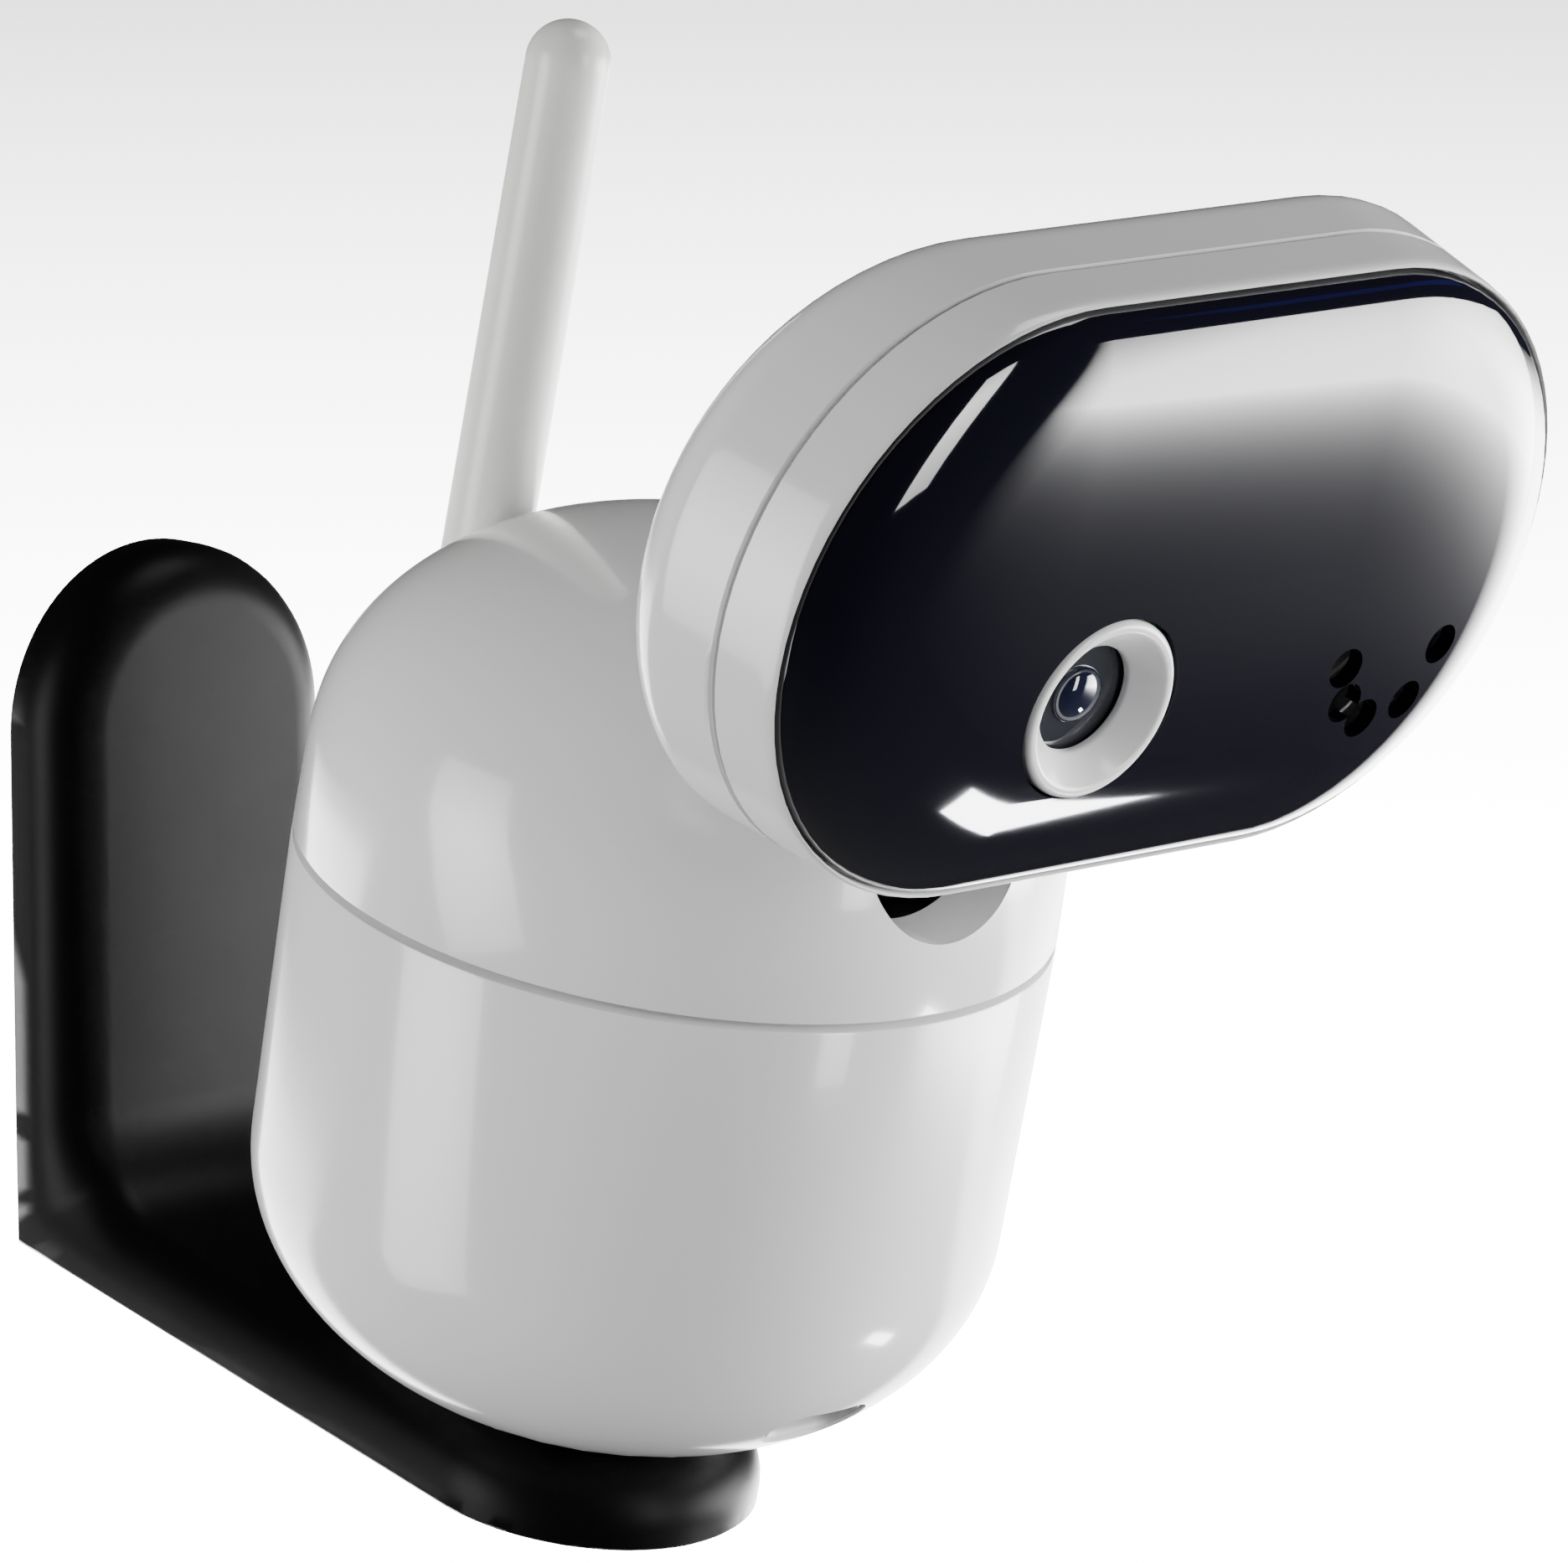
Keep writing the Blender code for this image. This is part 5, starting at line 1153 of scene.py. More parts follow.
@dataclass
class LockScrew:
    """The screw under the shelf, with a ribbed head.

    Args:
        head_radius: over the ribs.
        head_height: its height.
        head_inset: how far under the shelf's lower face it ends, less than the recess.
        shank: radius of the shank.
        tip: height of its end.
        slot: half width and half length of the coin slot.
        ribs: how many ribs go round.
        rib: radius of a rib.
        rib_length: its length.
        rib_sides: sides of a rib.
    """

    head_radius: float = 0.0062
    head_height: float = 0.0027
    head_inset: float = 0.0002
    shank: float = 0.0030
    tip: float = 0.0076
    slot: Point2 = (0.0008, 0.0045)
    ribs: int = 36
    rib: float = 0.0003
    rib_length: float = 0.0018
    rib_sides: int = 10

    def _ribs_group(self) -> bpy.types.GeometryNodeTree:
        """A node group that sets ribs round a circle and paints them.

        Returns:
            The group, with its sizes as named inputs.
        """
        tree = bpy.data.node_groups.new("rib_ring", "GeometryNodeTree")
        for name, kind in (("Count", "Int"), ("Radius", "Float"), ("Rib", "Float"),
                           ("Height", "Float"), ("Material", "Material")):
            tree.interface.new_socket(name, in_out="INPUT", socket_type=f"NodeSocket{kind}")
        tree.interface.new_socket("Geometry", in_out="OUTPUT", socket_type="NodeSocketGeometry")
        graph = Graph(tree)
        entry = graph.node("NodeGroupInput").outputs
        circle = graph.node("GeometryNodeMeshCircle", {
            "Vertices": entry["Count"], "Radius": entry["Radius"]})
        rib = graph.node("GeometryNodeMeshCylinder", {
            "Vertices": self.rib_sides, "Radius": entry["Rib"], "Depth": entry["Height"]})
        spread = graph.node("GeometryNodeInstanceOnPoints", {
            "Points": circle.outputs["Mesh"], "Instance": rib.outputs["Mesh"]})
        realize = graph.node("GeometryNodeRealizeInstances", {
            "Geometry": spread.outputs["Instances"]})
        paint = graph.node("GeometryNodeSetMaterial", {
            "Geometry": realize.outputs["Geometry"], "Material": entry["Material"]})
        graph.node("NodeGroupOutput", {"Geometry": paint.outputs["Geometry"]})
        return tree

    def _ribs(self, core: float, middle: float) -> Piece:
        """The ring of ribs.

        Args:
            core: radius of the head inside the ribs.
            middle: height of the ribs' middle.

        Returns:
            The ribs, as one plain mesh.
        """
        tree = self._ribs_group()
        holder = linked("rib_holder", bpy.data.meshes.new("rib_holder"))
        modifier = holder.modifiers.new("ribs", "NODES")
        modifier.node_group = tree
        values = {"Count": self.ribs, "Radius": core - 0.0001, "Rib": self.rib,
                  "Height": self.rib_length, "Material": STEEL.material()}
        for item in tree.interface.items_tree:
            if item.in_out == "INPUT":
                modifier[item.identifier] = values[item.name]
        graph = bpy.context.evaluated_depsgraph_get()
        data = bpy.data.meshes.new_from_object(holder.evaluated_get(graph))
        bpy.data.objects.remove(holder)
        data.transform(SEAT.matrix @ Matrix.Translation((0, 0, middle)))
        return shown(linked("lock_screw_ribs", data), STEEL, Body.BASE)

    def build(self) -> list[Piece]:
        """Turns the screw, cuts its coin slot and sets its ribs.

        Returns:
            The screw and its ribs.
        """
        bottom = -SHELF_THICKNESS + self.head_inset
        head_top = bottom + self.head_height
        core = self.head_radius - self.rib
        profile = [(0, bottom), (core, bottom), (core, head_top), (self.shank, head_top),
                   (self.shank, self.tip), (0, self.tip)]
        screw = Shape.turned(rounded(profile, 0.0005), FINE_ROUND).object("lock_screw_looks", SEAT)
        half_width, half_length = self.slot
        slot = block(half_width, (-half_length, half_length), (bottom - 0.001, bottom + 0.0012))
        cut(screw, [(slot.object("coin_slot", SEAT), "DIFFERENCE")])
        shown(screw, STEEL, Body.BASE, "lock_screw")
        return [screw, self._ribs(core, bottom + self.head_height / 2.0)]


@dataclass
class DomeUnit:
    """The upper shell with its neck slot and the antenna's pocket.

    Args:
        wall: shell thickness.
        slot_half: half the slot's width.
        slot_bottom: the lowest point of the slot.
        slot_rear: where the slot ends over the crown.
        tunnel_depth: how far in the tunnel inside the slot reaches.
        tunnel_wall: its wall.
        tunnel_top: its upper end.
        pocket_middle: how far behind the body's axis the antenna's pocket lies.
        pocket_radius: its radius.
        pocket_floor: height of its floor.
        pocket_wall: its wall.
    """

    wall: float = 0.0022
    slot_half: float = 0.0097
    slot_bottom: float = 0.0613
    slot_rear: float = -0.0062
    tunnel_depth: float = 0.0066
    tunnel_wall: float = 0.0020
    tunnel_top: float = 0.0790
    pocket_middle: float = 0.0322
    pocket_radius: float = 0.0046
    pocket_floor: float = 0.0626
    pocket_wall: float = 0.0020

    def _slot(self, wider: float, top: float, front: float, back: float) -> Shape:
        """The round-bottomed slot as a solid along Y.

        Args:
            wider: how far it stands out beyond the slot all round.
            top: its upper end.
            front: its front end, along Y.
            back: its rear end.

        Returns:
            The solid.
        """
        half = self.slot_half + wider
        bottom = self.slot_bottom - wider
        points = [(-half, top), *arc((0.0, bottom + half), half, math.pi, math.pi, 48), (half, top)]
        return Shape.prism(points, -back, -front).aimed(ALONG_FRONT)

    def _pocket(self, wider: float, low: float, high: float) -> Shape:
        """The antenna's pocket: round in front and open behind.

        Args:
            wider: how far it stands out beyond the pocket all round.
            low: its lower end.
            high: its upper end.

        Returns:
            The solid.
        """
        radius = self.pocket_radius + wider
        points = [(radius, 0.050), (-radius, 0.050),
                  *arc((0.0, self.pocket_middle), radius, math.pi, math.pi, 32)]
        return Shape.prism(points, low, high)

    def _shell_profile(self, low: float) -> list[Point2]:
        """The shell's section.

        Args:
            low: height of its lower edge.

        Returns:
            (radius, height) points, up the outside and down the inside.
        """
        edge = CURVE.dome(low)
        soft = SEAM_EDGE
        profile = [(edge - soft, low), (edge - soft * 0.3, low + soft * 0.3)]
        profile += CURVE.dome_points(0.0, low + soft)
        profile += CURVE.dome_points(self.wall, low + 0.006, 24)[::-1]
        profile.append((CURVE.dome(low, self.wall), low))
        return profile

    def build(self) -> list[Piece]:
        """Turns the dome, adds the tunnel and the pocket, and cuts both open.

        Returns:
            The dome.
        """
        low = CURVE.seam + SEAM_HALF
        dome = Shape.turned(self._shell_profile(low)).object("upper_shell_looks", SEAT)
        core = [(0, low)] + CURVE.dome_points(self.wall * 0.5, low, 24)
        tunnel = self._slot(self.tunnel_wall, self.tunnel_top, -0.040,
                            self.tunnel_depth - CURVE.dome_radius).object("tunnel", SEAT)
        cut(tunnel, [(Shape.turned(core).object("core", SEAT), "INTERSECT")])
        pocket = self._pocket(self.pocket_wall, self.pocket_floor - self.pocket_wall, 0.090)
        pocket = pocket.object("pocket", SEAT)
        cut(pocket, [(Shape.turned(core).object("core", SEAT), "INTERSECT")])
        hollow = self._pocket(0.0, self.pocket_floor, 0.095).object("hollow", SEAT)
        slot = self._slot(0.0, 0.095, -0.045, self.slot_rear).object("slot", SEAT)
        cut(dome, [(tunnel, "UNION"), (pocket, "UNION"), (hollow, "DIFFERENCE"),
                   (slot, "DIFFERENCE")])
        return [shown(dome, WHITE, Body.PAN, "upper_shell")]


@dataclass
class Antenna:
    """The folding antenna: a slightly tapered bar with a round tip and foot.

    Args:
        foot: radius at the hinge.
        tip: radius at the end.
        length: from hinge to end.
        bore: radius of the pin's bore.
    """

    foot: float = 0.00420
    tip: float = 0.00400
    length: float = 0.06051
    bore: float = 0.0013

    def build(self) -> list[Piece]:
        """Turns the antenna.

        Returns:
            The antenna.
        """
        lower = arc((0.0, 0.0), self.foot, -QUARTER, QUARTER, 16)
        upper = arc((0.0, self.length - self.tip), self.tip, 0.0, QUARTER, 24)
        profile = [(0.0, -self.foot), *lower[1:], *upper[:-1], (0.0, self.length)]
        bar = Shape.turned(profile, FINE_ROUND).object("antenna_looks", ANTENNA)
        bore = rod(self.bore, -0.01, 0.01).aimed(ALONG_X)
        cut(bar, [(bore.object("bore", ANTENNA), "DIFFERENCE")])
        return [shown(bar, PEARL, Body.ANTENNA, "antenna")]


# ------------------------------------------------------------------------------------- head
@dataclass
class Head:
    """The wide head: bezel, middle shell, rear cap, glass, lens and neck.

    Args:
        spine: half the straight part of the stadium outline.
        radius: of the shell's round ends.
        glass: radius of the glass's round ends.
        depth: from the rim plane to the back.
        straight: how far back the sides stay parallel.
        spread: how much longer the spine is at the back.
        close: how the back closes, as the two powers of its curve.
        bezel: depth of the bezel.
        rear: where the rear cap starts.
        wall: shell thickness.
        bulge: how far the glass stands out.
        power: how late the glass turns in towards its rim.
        glass_wall: thickness of the glass.
        lens: centre of the lens.
        ring: radius of the white ring round it.
        throat: radius of the ring's throat.
        port_centre: centre of the sound ports.
        port_ring: radius of the circle that they stand on.
        ports: their angles on it, in degrees.
        port: radius of a port.
    """

    spine: float = 0.0179
    radius: float = 0.0289
    glass: float = 0.0281
    depth: float = 0.0290
    straight: float = 0.0130
    spread: float = 0.0050
    close: Point2 = (1.65, 1.35)
    bezel: float = 0.0062
    rear: float = 0.0215
    wall: float = 0.0018
    bulge: float = 0.0050
    power: float = 2.8
    glass_wall: float = 0.0016
    lens: Point2 = (-0.0099, -0.0092)
    ring: float = 0.0087
    throat: float = 0.0052
    port_centre: Point2 = (0.0274, -0.0090)
    port_ring: float = 0.0064
    ports: tuple[float, ...] = (2.0, 182.0, 219.0, 253.0, 306.0)
    port: float = 0.0020

    def section(self, depth: float, inset: float = 0.0) -> tuple[float, float]:
        """The shell's section at a depth.

        Args:
            depth: behind the rim plane.
            inset: how far inside the outer face.

        Returns:
            Half its spine, and its radius.
        """
        run = self.depth - inset - self.straight
        share = min(1.0, max(0.0, (depth - self.straight) / run))
        radius = (self.radius - inset) * (1.0 - share ** self.close[0]) ** (1.0 / self.close[1])
        return self.spine + self.spread * depth / self.depth, radius

    def _ring(self, depth: float, spine: float, radius: float) -> list[Sequence[float]]:
        """A stadium of points at a depth."""
        return [(x, depth, z) for x, z in stadium(spine, radius)]

    def _shell_ring(self, depth: float, inset: float = 0.0) -> list[Sequence[float]]:
        """The shell's own outline at a depth."""
        return self._ring(depth, *self.section(depth, inset))

    def _edge_ring(self, depth: float) -> list[Sequence[float]]:
        """The shell's outline at an edge, drawn in so that the edge is soft."""
        spine, radius = self.section(depth)
        return self._ring(depth, spine, radius - SOFT_EDGE)

    def _band(self, start: float, end: float, steps: int) -> list[list[Sequence[float]]]:
        """A band of the shell with softened edges.

        Args:
            start: its front edge.
            end: its rear edge.
            steps: rings along it.

        Returns:
            The rings, back along the outside and forward along the inside.
        """
        depths = [start + (end - start) * share / steps for share in range(1, steps)]
        outside = [start + SOFT_EDGE, *depths, end - SOFT_EDGE]
        rings = [self._edge_ring(start), *(self._shell_ring(depth) for depth in outside),
                 self._edge_ring(end)]
        rings += [self._shell_ring(end + (start - end) * share / 8, self.wall)
                  for share in range(9)]
        return rings

    def bezel_ring(self) -> Piece:
        """The bezel round the glass, with a rounded rim and a ledge that holds the glass.

        Returns:
            The bezel.
        """
        rim = self.glass + GAP
        front = ((0.0012, rim), (-0.0001, rim), (-0.0003, rim + 0.0001), (-0.0004, rim + 0.0002),
                 (-0.0003, self.radius - 0.0002), (0.0, self.radius - 0.00006))
        rings = [self._ring(depth, self.spine, radius) for depth, radius in front]
        rings += [self._shell_ring(self.bezel * step / 8) for step in range(1, 8)]
        rings += [self._shell_ring(self.bezel - SOFT_EDGE), self._edge_ring(self.bezel),
                  self._shell_ring(self.bezel, self.wall), self._shell_ring(0.0030, self.wall)]
        ledge = ((0.0026, rim - 0.0010), (0.0019, rim - 0.0010), (0.0019, rim))
        rings += [self._ring(depth, self.spine, radius) for depth, radius in ledge]
        bezel = Shape.lofted(rings, closed=True).object("head_bezel_looks", FACE)
        return shown(bezel, WHITE, Body.HEAD, "head_bezel")

    def _neck_room(self) -> Piece:
        """The clearance that the neck needs through the shells."""
        room = Shape.prism(Neck().outline(2.0 * GAP), -0.0086, 0.0086).aimed(SIDEWAYS)
        return room.object("neck_clearance", TILT)

    def middle_shell(self) -> Piece:
        """The shell between bezel and rear cap.

        Returns:
            The middle shell.
        """
        rings = self._band(self.bezel + GAP, self.rear, 18)
        middle = Shape.lofted(rings, closed=True).object("head_middle_looks", FACE)
        cut(middle, [(self._neck_room(), "DIFFERENCE")])
        return shown(middle, WHITE, Body.HEAD, "head_middle_shell")

    def rear_cap(self) -> Piece:
        """The closed back.

        Returns:
            The rear cap.
        """
        start = self.rear + GAP
        first = start + SOFT_EDGE
        last = self.depth - 0.00002
        outer = [self._edge_ring(start)]
        outer += [self._shell_ring(first + (last - first) * math.sin(QUARTER * step / 30))
                  for step in range(31)]
        last = self.depth - self.wall - 0.0001
        inner = [self._shell_ring(start + (last - start) * math.sin(QUARTER * (1.0 - step / 12)),
                                  self.wall) for step in range(13)]
        cap = self._cup(outer, inner).object("head_rear_looks", FACE)
        cut(cap, [(self._neck_room(), "DIFFERENCE")])
        return shown(cap, WHITE, Body.HEAD, "head_rear_cap")

    def _cup(self, outer: list[list[Sequence[float]]], inner: list[list[Sequence[float]]]) -> Shape:
        """A cup through rings.

        Args:
            outer: rings from the rim to the closed end, outside.
            inner: rings from the closed end to the rim, inside.

        Returns:
            The cup.
        """
        shape = Shape.lofted(outer + inner, closed=True)
        work = shape.mesh
        size = len(outer[0])
        first = (len(outer) - 1) * size
        verts = list(work.verts)
        ends = (verts[first:first + size], verts[first + size:first + 2 * size])
        both = set(ends[0]) | set(ends[1])
        between = [face for face in work.faces if both.issuperset(face.verts)]
        bmesh.ops.delete(work, geom=between, context="FACES_ONLY")
        for row in ends:
            self._close(work, row)
        return shape

    def _close(self, work: bmesh.types.BMesh, row: list[bmesh.types.BMVert]) -> None:
        """Closes a stadium ring with quads across it, so that it shades evenly.

        Args:
            work: the mesh.
            row: the ring's vertices in order.
        """
        count = len(row)
        for here in range(count // 2 - 1):
            work.faces.new((row[here], row[here + 1], row[count - 2 - here], row[count - 1 - here]))

    def _glass_height(self, share: float) -> float:
        """How far the glass stands out at a share of its radius."""
        return self.bulge * max(0.0, 1.0 - share ** self.power) ** 0.5

    def front(self) -> Piece:
        """The domed glass with its lens opening and sound ports.

        Returns:
            The glass.
        """
        shares = [math.sin(QUARTER * (1.0 - step / 28.3)) for step in range(29)]
        outer = [self._ring(-self._glass_height(share), self.spine, self.glass * share)
                 for share in shares]
        inner = [self._ring(self.glass_wall - self._glass_height(share), self.spine,
                            (self.glass - GAP) * share)
                 for share in (0.1, 0.3, 0.5, 0.7, 0.85, 0.95)]
        inner.append(self._ring(self.glass_wall, self.spine, self.glass))
        glass = self._cup(outer, inner).object("front_glass_looks", FACE)
        tools = [rod(self.ring + GAP, -0.010, 0.010, FINE_ROUND).aimed(ALONG_BACK, self._lens_spot())]
        for angle in self.ports:
            turn = math.radians(angle)
            spot = (self.port_centre[0] + self.port_ring * math.cos(turn), 0,
                    self.port_centre[1] + self.port_ring * math.sin(turn))
            tools.append(rod(self.port, -0.010, 0.010, 40).aimed(ALONG_BACK, spot))
        cut(glass, [(tool.object("tool", FACE), "DIFFERENCE") for tool in tools])
        return shown(glass, GLASS, Body.HEAD, "front_glass")

    def _lens_spot(self) -> tuple[float, float, float]:
        """The lens's centre in the rim plane."""
        return (self.lens[0], 0.0, self.lens[1])

    def _optic(self, profile: Sequence[Point2], node: str, finish: Finish,
               angle: float = 40.0) -> Piece:
        """A piece turned about the lens's axis.

        Args:
            profile: (radius, depth) points.
            node: the CAD node that it replaces.
            finish: its finish.
            angle: edges sharper than this stay sharp, in degrees.

        Returns:
            The piece.
        """
        shape = Shape.turned(profile, FINE_ROUND).aimed(ALONG_BACK, self._lens_spot())
        return shown(shape.object(f"{node}_looks", FACE, angle), finish, Body.HEAD, node)

    def optics(self) -> list[Piece]:
        """The white ring, the window, the element and the barrel behind it.

        Returns:
            The four pieces.
        """
        front = -self._glass_height(abs(self.lens[1]) / self.glass) - 0.0002
        back = front + 0.0032
        edge = self.ring
        throat = self.throat
        ring = [(edge - 0.0004, front), (edge, front + 0.0004), (edge, back), (throat, back),
                (throat, back - 0.0008), (edge - 0.0013, front + 0.0002), (edge - 0.0010, front)]
        start = back + GAP
        window = [(0, start), (0.0060, start), (0.0060, start + 0.0003), (0.0036, start + 0.0003),
                  (0.0036, start + 0.0008), (0, start + 0.0008)]
        swell = [(0.0027 * math.sin(QUARTER * step / 12),
                  start - 0.0001 - 0.0012 * math.cos(QUARTER * step / 12)) for step in range(1, 13)]
        element = [(0, start - 0.0013), *swell, (0.0027, start + 0.0040), (0, start + 0.0040)]
        tube_front = start + 0.0013
        tube_back = tube_front + 0.0062
        tube = [(0.0055, tube_front), (0.0055, tube_back), (0.0032, tube_back),
                (0.0032, tube_front)]
        return [self._optic(rounded(ring, 0.00025), "lens_ring", RING, 30.0),
                self._optic(window, "lens_window", WINDOW),
                self._optic(element, "lens_element", LENS),
                self._optic(rounded(tube, 0.0003), "lens_barrel", DARK)]

    def build(self) -> list[Piece]:
        """Every piece of the head, with its neck."""
        return [self.bezel_ring(), self.middle_shell(), self.rear_cap(), self.front(),
                *self.optics(), Neck().build()]


@dataclass
class Neck:
    """The tilt arm between the axle and the head's frame.

    Args:
        half_width: half its width.
        half: half its thickness, and the hub's radius.
        reach: where it ends, as (y, z) from the axle.
        bore: radius of the axle's bore.
        flange_front: depth of the flange's front face in the head.
        flange_half: half the flange's width.
        flange_thickness: its thickness.
        flange_height: its lower and upper edge.
    """

    half_width: float = 0.0080
    half: float = 0.0052
    reach: Point2 = (-0.0210, 0.0260)
    bore: float = 0.0017
    flange_front: float = 0.0147
    flange_half: float = 0.0125
    flange_thickness: float = 0.0024
    flange_height: Point2 = (-0.0165, -0.0060)

    def outline(self, clearance: float) -> list[Point2]:
        """The arm's side view.

        Args:
            clearance: how far it stands out all round.

        Returns:
            (y, z) points from the axle.
        """
        along = Vector(self.reach).normalized()
        across = Vector((-along.y, along.x))
        half = self.half + clearance
        end = Vector(self.reach) + along * clearance
        corners = [end + across * half, end - across * half]
        start = math.atan2(-across.y, -across.x)
        return [(point.x, point.y) for point in corners] + arc((0.0, 0.0), half, start, -math.pi, 24)

    def build(self) -> Piece:
        """Builds the neck.

        Returns:
            The neck.
        """
        body = Shape.prism(self.outline(0.0), -self.half_width, self.half_width).aimed(SIDEWAYS)
        arm = body.object("tilt_arm_looks", TILT)
        front = self.flange_front
        flange = block(self.flange_half, (front, front + self.flange_thickness), self.flange_height)
        trim = block(0.020, (-0.010, front), (-0.030, 0.020))
        bore = rod(self.bore, -THROUGH, THROUGH).aimed(ALONG_X)
        cut(arm, [(flange.object("flange", FACE), "UNION"), (trim.object("trim", FACE), "DIFFERENCE"),
                  (bore.object("bore", TILT), "DIFFERENCE")])
        return shown(arm, DARK, Body.HEAD, "tilt_arm")


# ------------------------------------------------------------------------------------- studio
def area_light(name: str, size: Point2, power: float, place: Vector, facing: Vector) -> bpy.types.Light:
    """A rectangular light.

    Args:
        name: its name.
        size: width and height.
        power: in watts.
        place: where it stands.
        facing: the direction it shines in.

    Returns:
        The light's data.
    """
    data = bpy.data.lights.new(name, "AREA")
    data.shape = "RECTANGLE"
    data.size, data.size_y = size
    data.energy = power
    lamp = linked(name, data)
    lamp.location = place
    lamp.rotation_euler = facing.to_track_quat("-Z", "Y").to_euler()
    return data


@dataclass(frozen=True)
class Softbox:
    """A rectangular light, aimed at a point on the object.

    Args:
        name: its name.
        azimuth: bearing from the camera round to its right, in degrees.
        elevation: angle above the floor, in degrees.
        distance: from the aim point.
        size: width and height.
        power: in watts.
        colour: light colour.
        fade: how fast it dims towards its lower edge; 0 for an even light.
        fade_from: where the dimming starts, as a share of its height.
        side_fade: how steeply it dims at its near side.
        beam: width of its beam, in degrees.
    """

    name: str
    azimuth: float
    elevation: float
    distance: float
    size: Point2
    power: float
    colour: Colour = (1.0, 1.0, 1.0)
    fade: float = 0.0
    fade_from: float = 0.46
    side_fade: float = 7.0
    beam: float = 80.0

    def _grade(self, data: bpy.types.Light) -> None:
        """Dims the light towards its lower edge and its near side.

        Args:
            data: the light's data.
        """
        data.use_nodes = True
        graph = Graph(data.node_tree)
        place = graph.node("ShaderNodeNewGeometry")
        split = graph.node("ShaderNodeSeparateXYZ", {"Vector": place.outputs["Parametric"]})
        rise = Sock(graph, split.outputs["Y"])
        across = Sock(graph, split.outputs["X"])
        level = ((rise - self.fade_from) * self.fade).exp().at_most(1.0)
        strength = level * (across * self.side_fade).at_most(1.0)
        graph.feed(data.node_tree.nodes["Emission"], {"Strength": strength})

    def build(self, aim: Vector, heading: float) -> None:
        """Stands the light up.

        Args:
            aim: the point it faces.
            heading: the camera's bearing from the object, in radians.
        """
        turn = heading - math.radians(self.azimuth)
        rise = math.radians(self.elevation)
        away = Vector((math.sin(turn) * math.cos(rise), math.cos(turn) * math.cos(rise),
                       math.sin(rise)))
        data = area_light(self.name, self.size, self.power, aim + away * self.distance, -away)
        data.color = self.colour
        data.spread = math.radians(self.beam)
        if self.fade:
            self._grade(data)


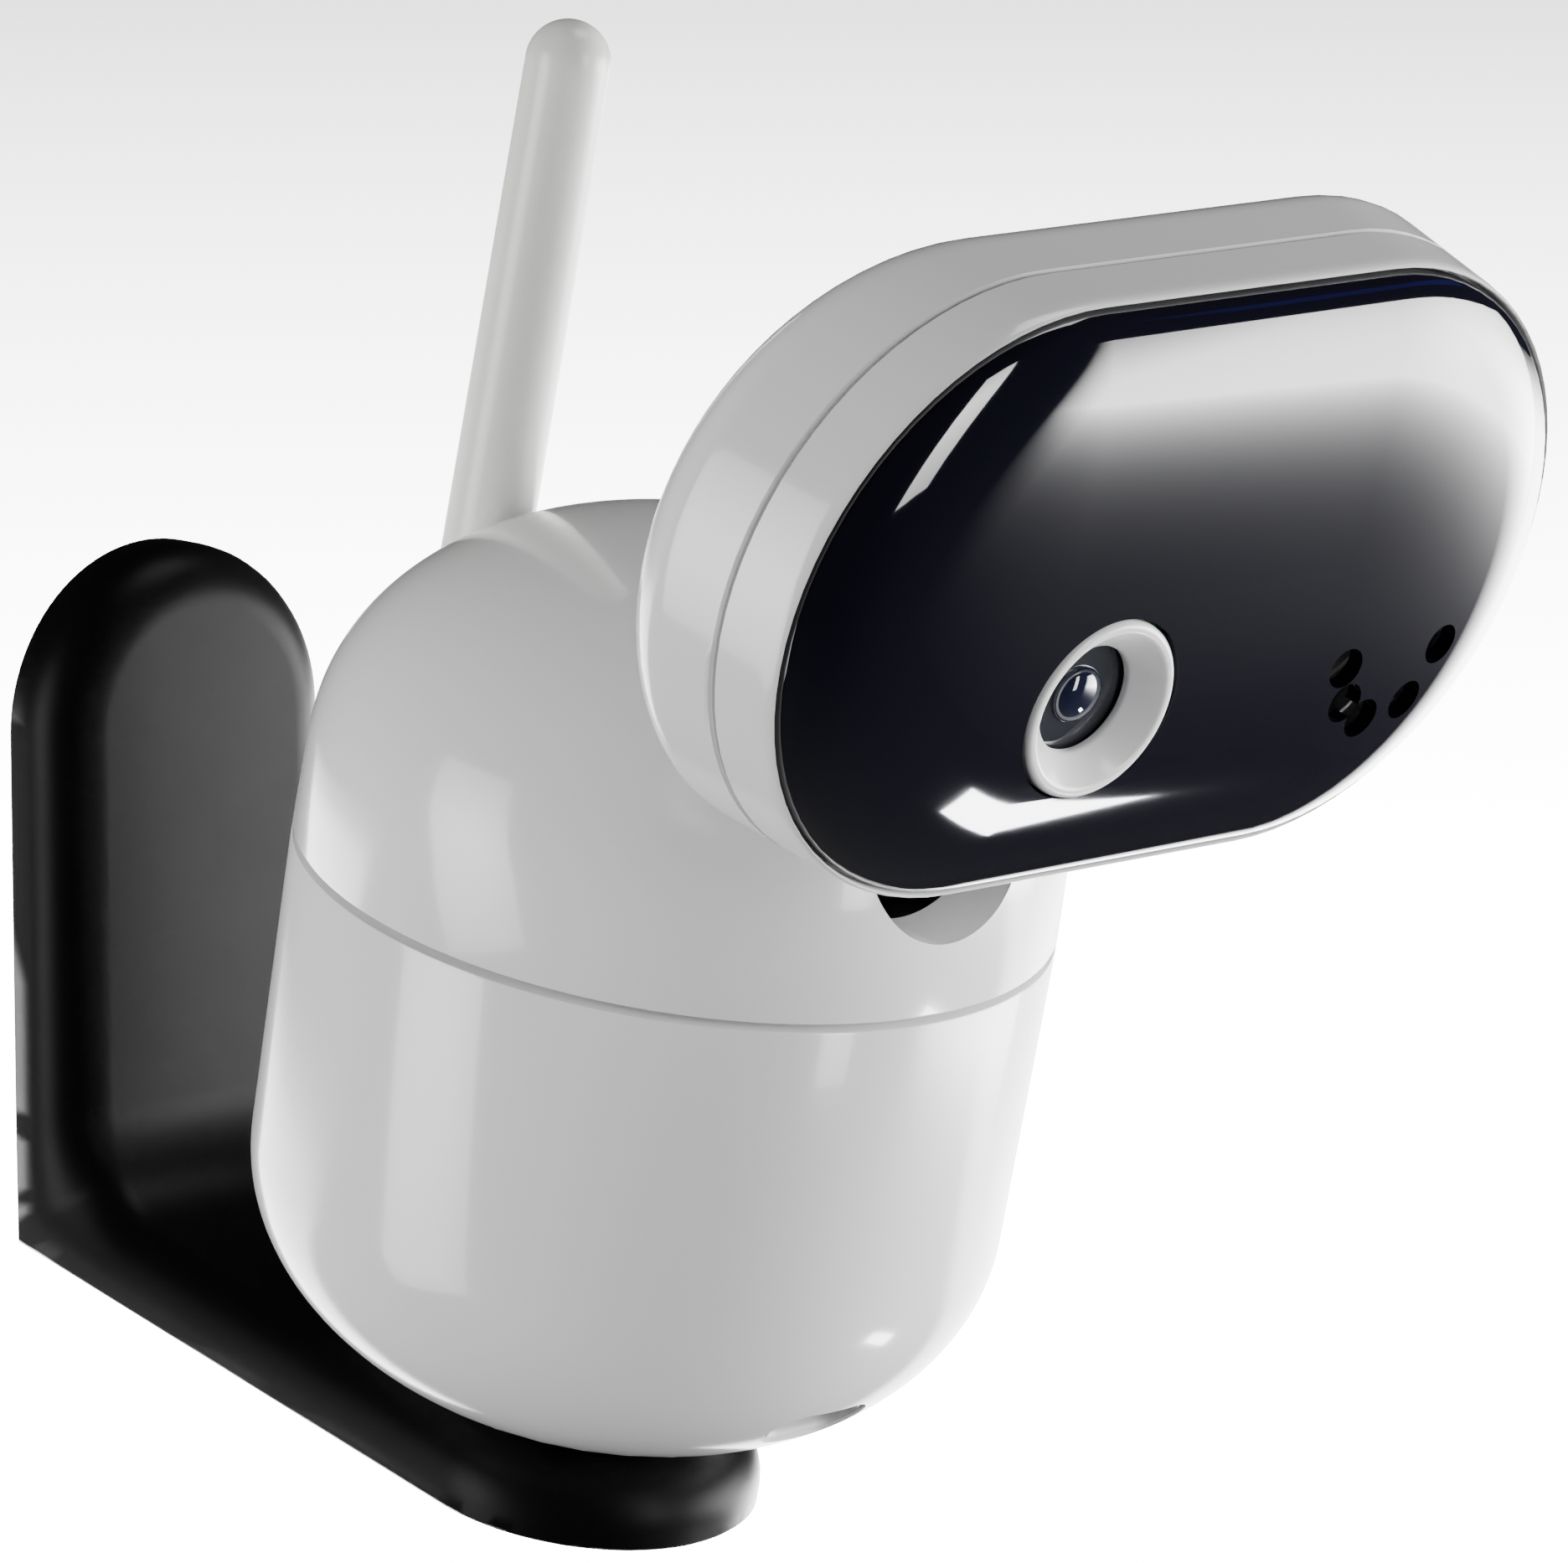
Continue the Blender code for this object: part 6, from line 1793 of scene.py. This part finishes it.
@dataclass
class Studio:
    """Pale floor, dark room, softboxes and the camera.

    Args:
        floor: height of the floor.
        floor_reach: half its side.
        target: what the camera stands off from.
        stand: direction from the target to the camera.
        distance: from the target.
        aside: how far the camera is shifted to its right and up.
        lens: focal length in millimetres.
        room: strength of the room's own light.
        aim: the point that the softboxes face.
        beyond: bearing of the light on the floor behind, clockwise from +Y, in degrees.
        beyond_size: its width and height.
        beyond_power: its power in watts.
        beyond_place: how far off and how high it stands.
        beyond_dip: how far it looks down, as a slope.
        lights: the softboxes.
    """

    floor: float = -0.90
    floor_reach: float = 14.0
    target: Vector = field(default_factory=lambda: SEAT.matrix @ Vector((0, 0, CURVE.seam)))
    stand: tuple[float, float, float] = (-0.672, -0.717, 0.185)
    distance: float = 0.935
    aside: Point2 = (0.01008, 0.00883)
    lens: float = 230.77
    room: float = 0.02
    aim: tuple[float, float, float] = (0.0, -0.09, 0.02)
    beyond: float = 43.15
    beyond_size: Point2 = (6.0, 1.6)
    beyond_power: float = 7500.0
    beyond_place: Point2 = (1.4, 1.3)
    beyond_dip: float = 0.22
    lights: tuple[Softbox, ...] = (
        Softbox("key_right", 103.0, -15.0, 0.70, (0.64, 0.60), 6.0, fade=15.0),
        Softbox("left_panel", -66.0, -2.0, 0.90, (0.44, 1.00), 2.9),
        Softbox("low_glow", 103.0, -43.5, 0.50, (0.085, 0.035), 0.10, (0.94, 0.95, 1.0)),
        Softbox("top_right", 110.0, 66.0, 0.90, (0.4, 0.4), 0.6),
        Softbox("blue_strip", 108.0, 24.0, 0.90, (0.6, 0.10), 0.016, (0.05, 0.07, 1.0)),
        Softbox("front_right", 52.0, 2.0, 0.90, (0.16, 0.7), 1.0),
    )

    def _floor(self) -> None:
        """The pale floor, which the object stands clear of."""
        work = bmesh.new()
        bmesh.ops.create_grid(work, x_segments=1, y_segments=1, size=self.floor_reach)
        data = bpy.data.meshes.new("floor")
        work.to_mesh(data)
        work.free()
        floor = linked("floor", data)
        floor.location.z = self.floor
        data.materials.append(FLOOR.material())

    def _room(self) -> None:
        """The room's own faint, even light."""
        world = bpy.data.worlds.new("studio")
        world.use_nodes = True
        Graph(world.node_tree).feed(world.node_tree.nodes["Background"], {
            "Color": (1.0, 1.0, 1.0, 1.0), "Strength": self.room})
        bpy.context.scene.world = world

    def _floor_light(self) -> None:
        """Light that falls on the floor beyond the object."""
        turn = math.radians(self.beyond)
        away = Vector((math.sin(turn), math.cos(turn), 0.0))
        off, height = self.beyond_place
        area_light("floor_light", self.beyond_size, self.beyond_power,
                   away * off + Vector((0.0, 0.0, height)),
                   away - Vector((0.0, 0.0, self.beyond_dip)))

    def _camera(self, back: Vector) -> None:
        """The camera.

        Args:
            back: direction from the target to it, of length 1.
        """
        data = bpy.data.cameras.new("view")
        data.lens = self.lens
        data.sensor_width = 36.0
        data.clip_start = 0.01
        data.clip_end = 50.0
        camera = linked("view", data)
        turn = back.to_track_quat("Z", "Y")
        right = turn @ Vector((1.0, 0.0, 0.0))
        up = turn @ Vector((0.0, 1.0, 0.0))
        camera.location = (self.target + back * self.distance + right * self.aside[0]
                           + up * self.aside[1])
        camera.rotation_euler = turn.to_euler()
        bpy.context.scene.camera = camera

    def build(self) -> None:
        """Sets up the floor, the room, the lights and the camera."""
        self._floor()
        self._room()
        back = Vector(self.stand).normalized()
        for light in self.lights:
            light.build(Vector(self.aim), math.atan2(back.x, back.y))
        self._floor_light()
        self._camera(back)


def paint_carried_nodes() -> None:
    """Gives the CAD nodes that stay in view, or inside, their finishes."""
    for finish, names in CARRIED:
        for name in names:
            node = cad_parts[name]
            node.data.materials.clear()
            node.data.materials.append(finish.material())
            LOG.info("carried over %s in %s", name, finish.name)


def main() -> None:
    """Builds the looks, in order, and reports each piece."""
    logging.basicConfig(level=logging.INFO)
    paint_carried_nodes()
    for unit in (WallBracket(), LockScrew(), BaseUnit(), DomeUnit(), Antenna(), Head()):
        for piece in unit.build():
            LOG.info("%s: %s, %d faces, %s", type(unit).__name__, piece.name,
                     len(piece.data.polygons), piece.data.materials[0].name)
    Studio().build()


if __name__ == "__main__":
    main()
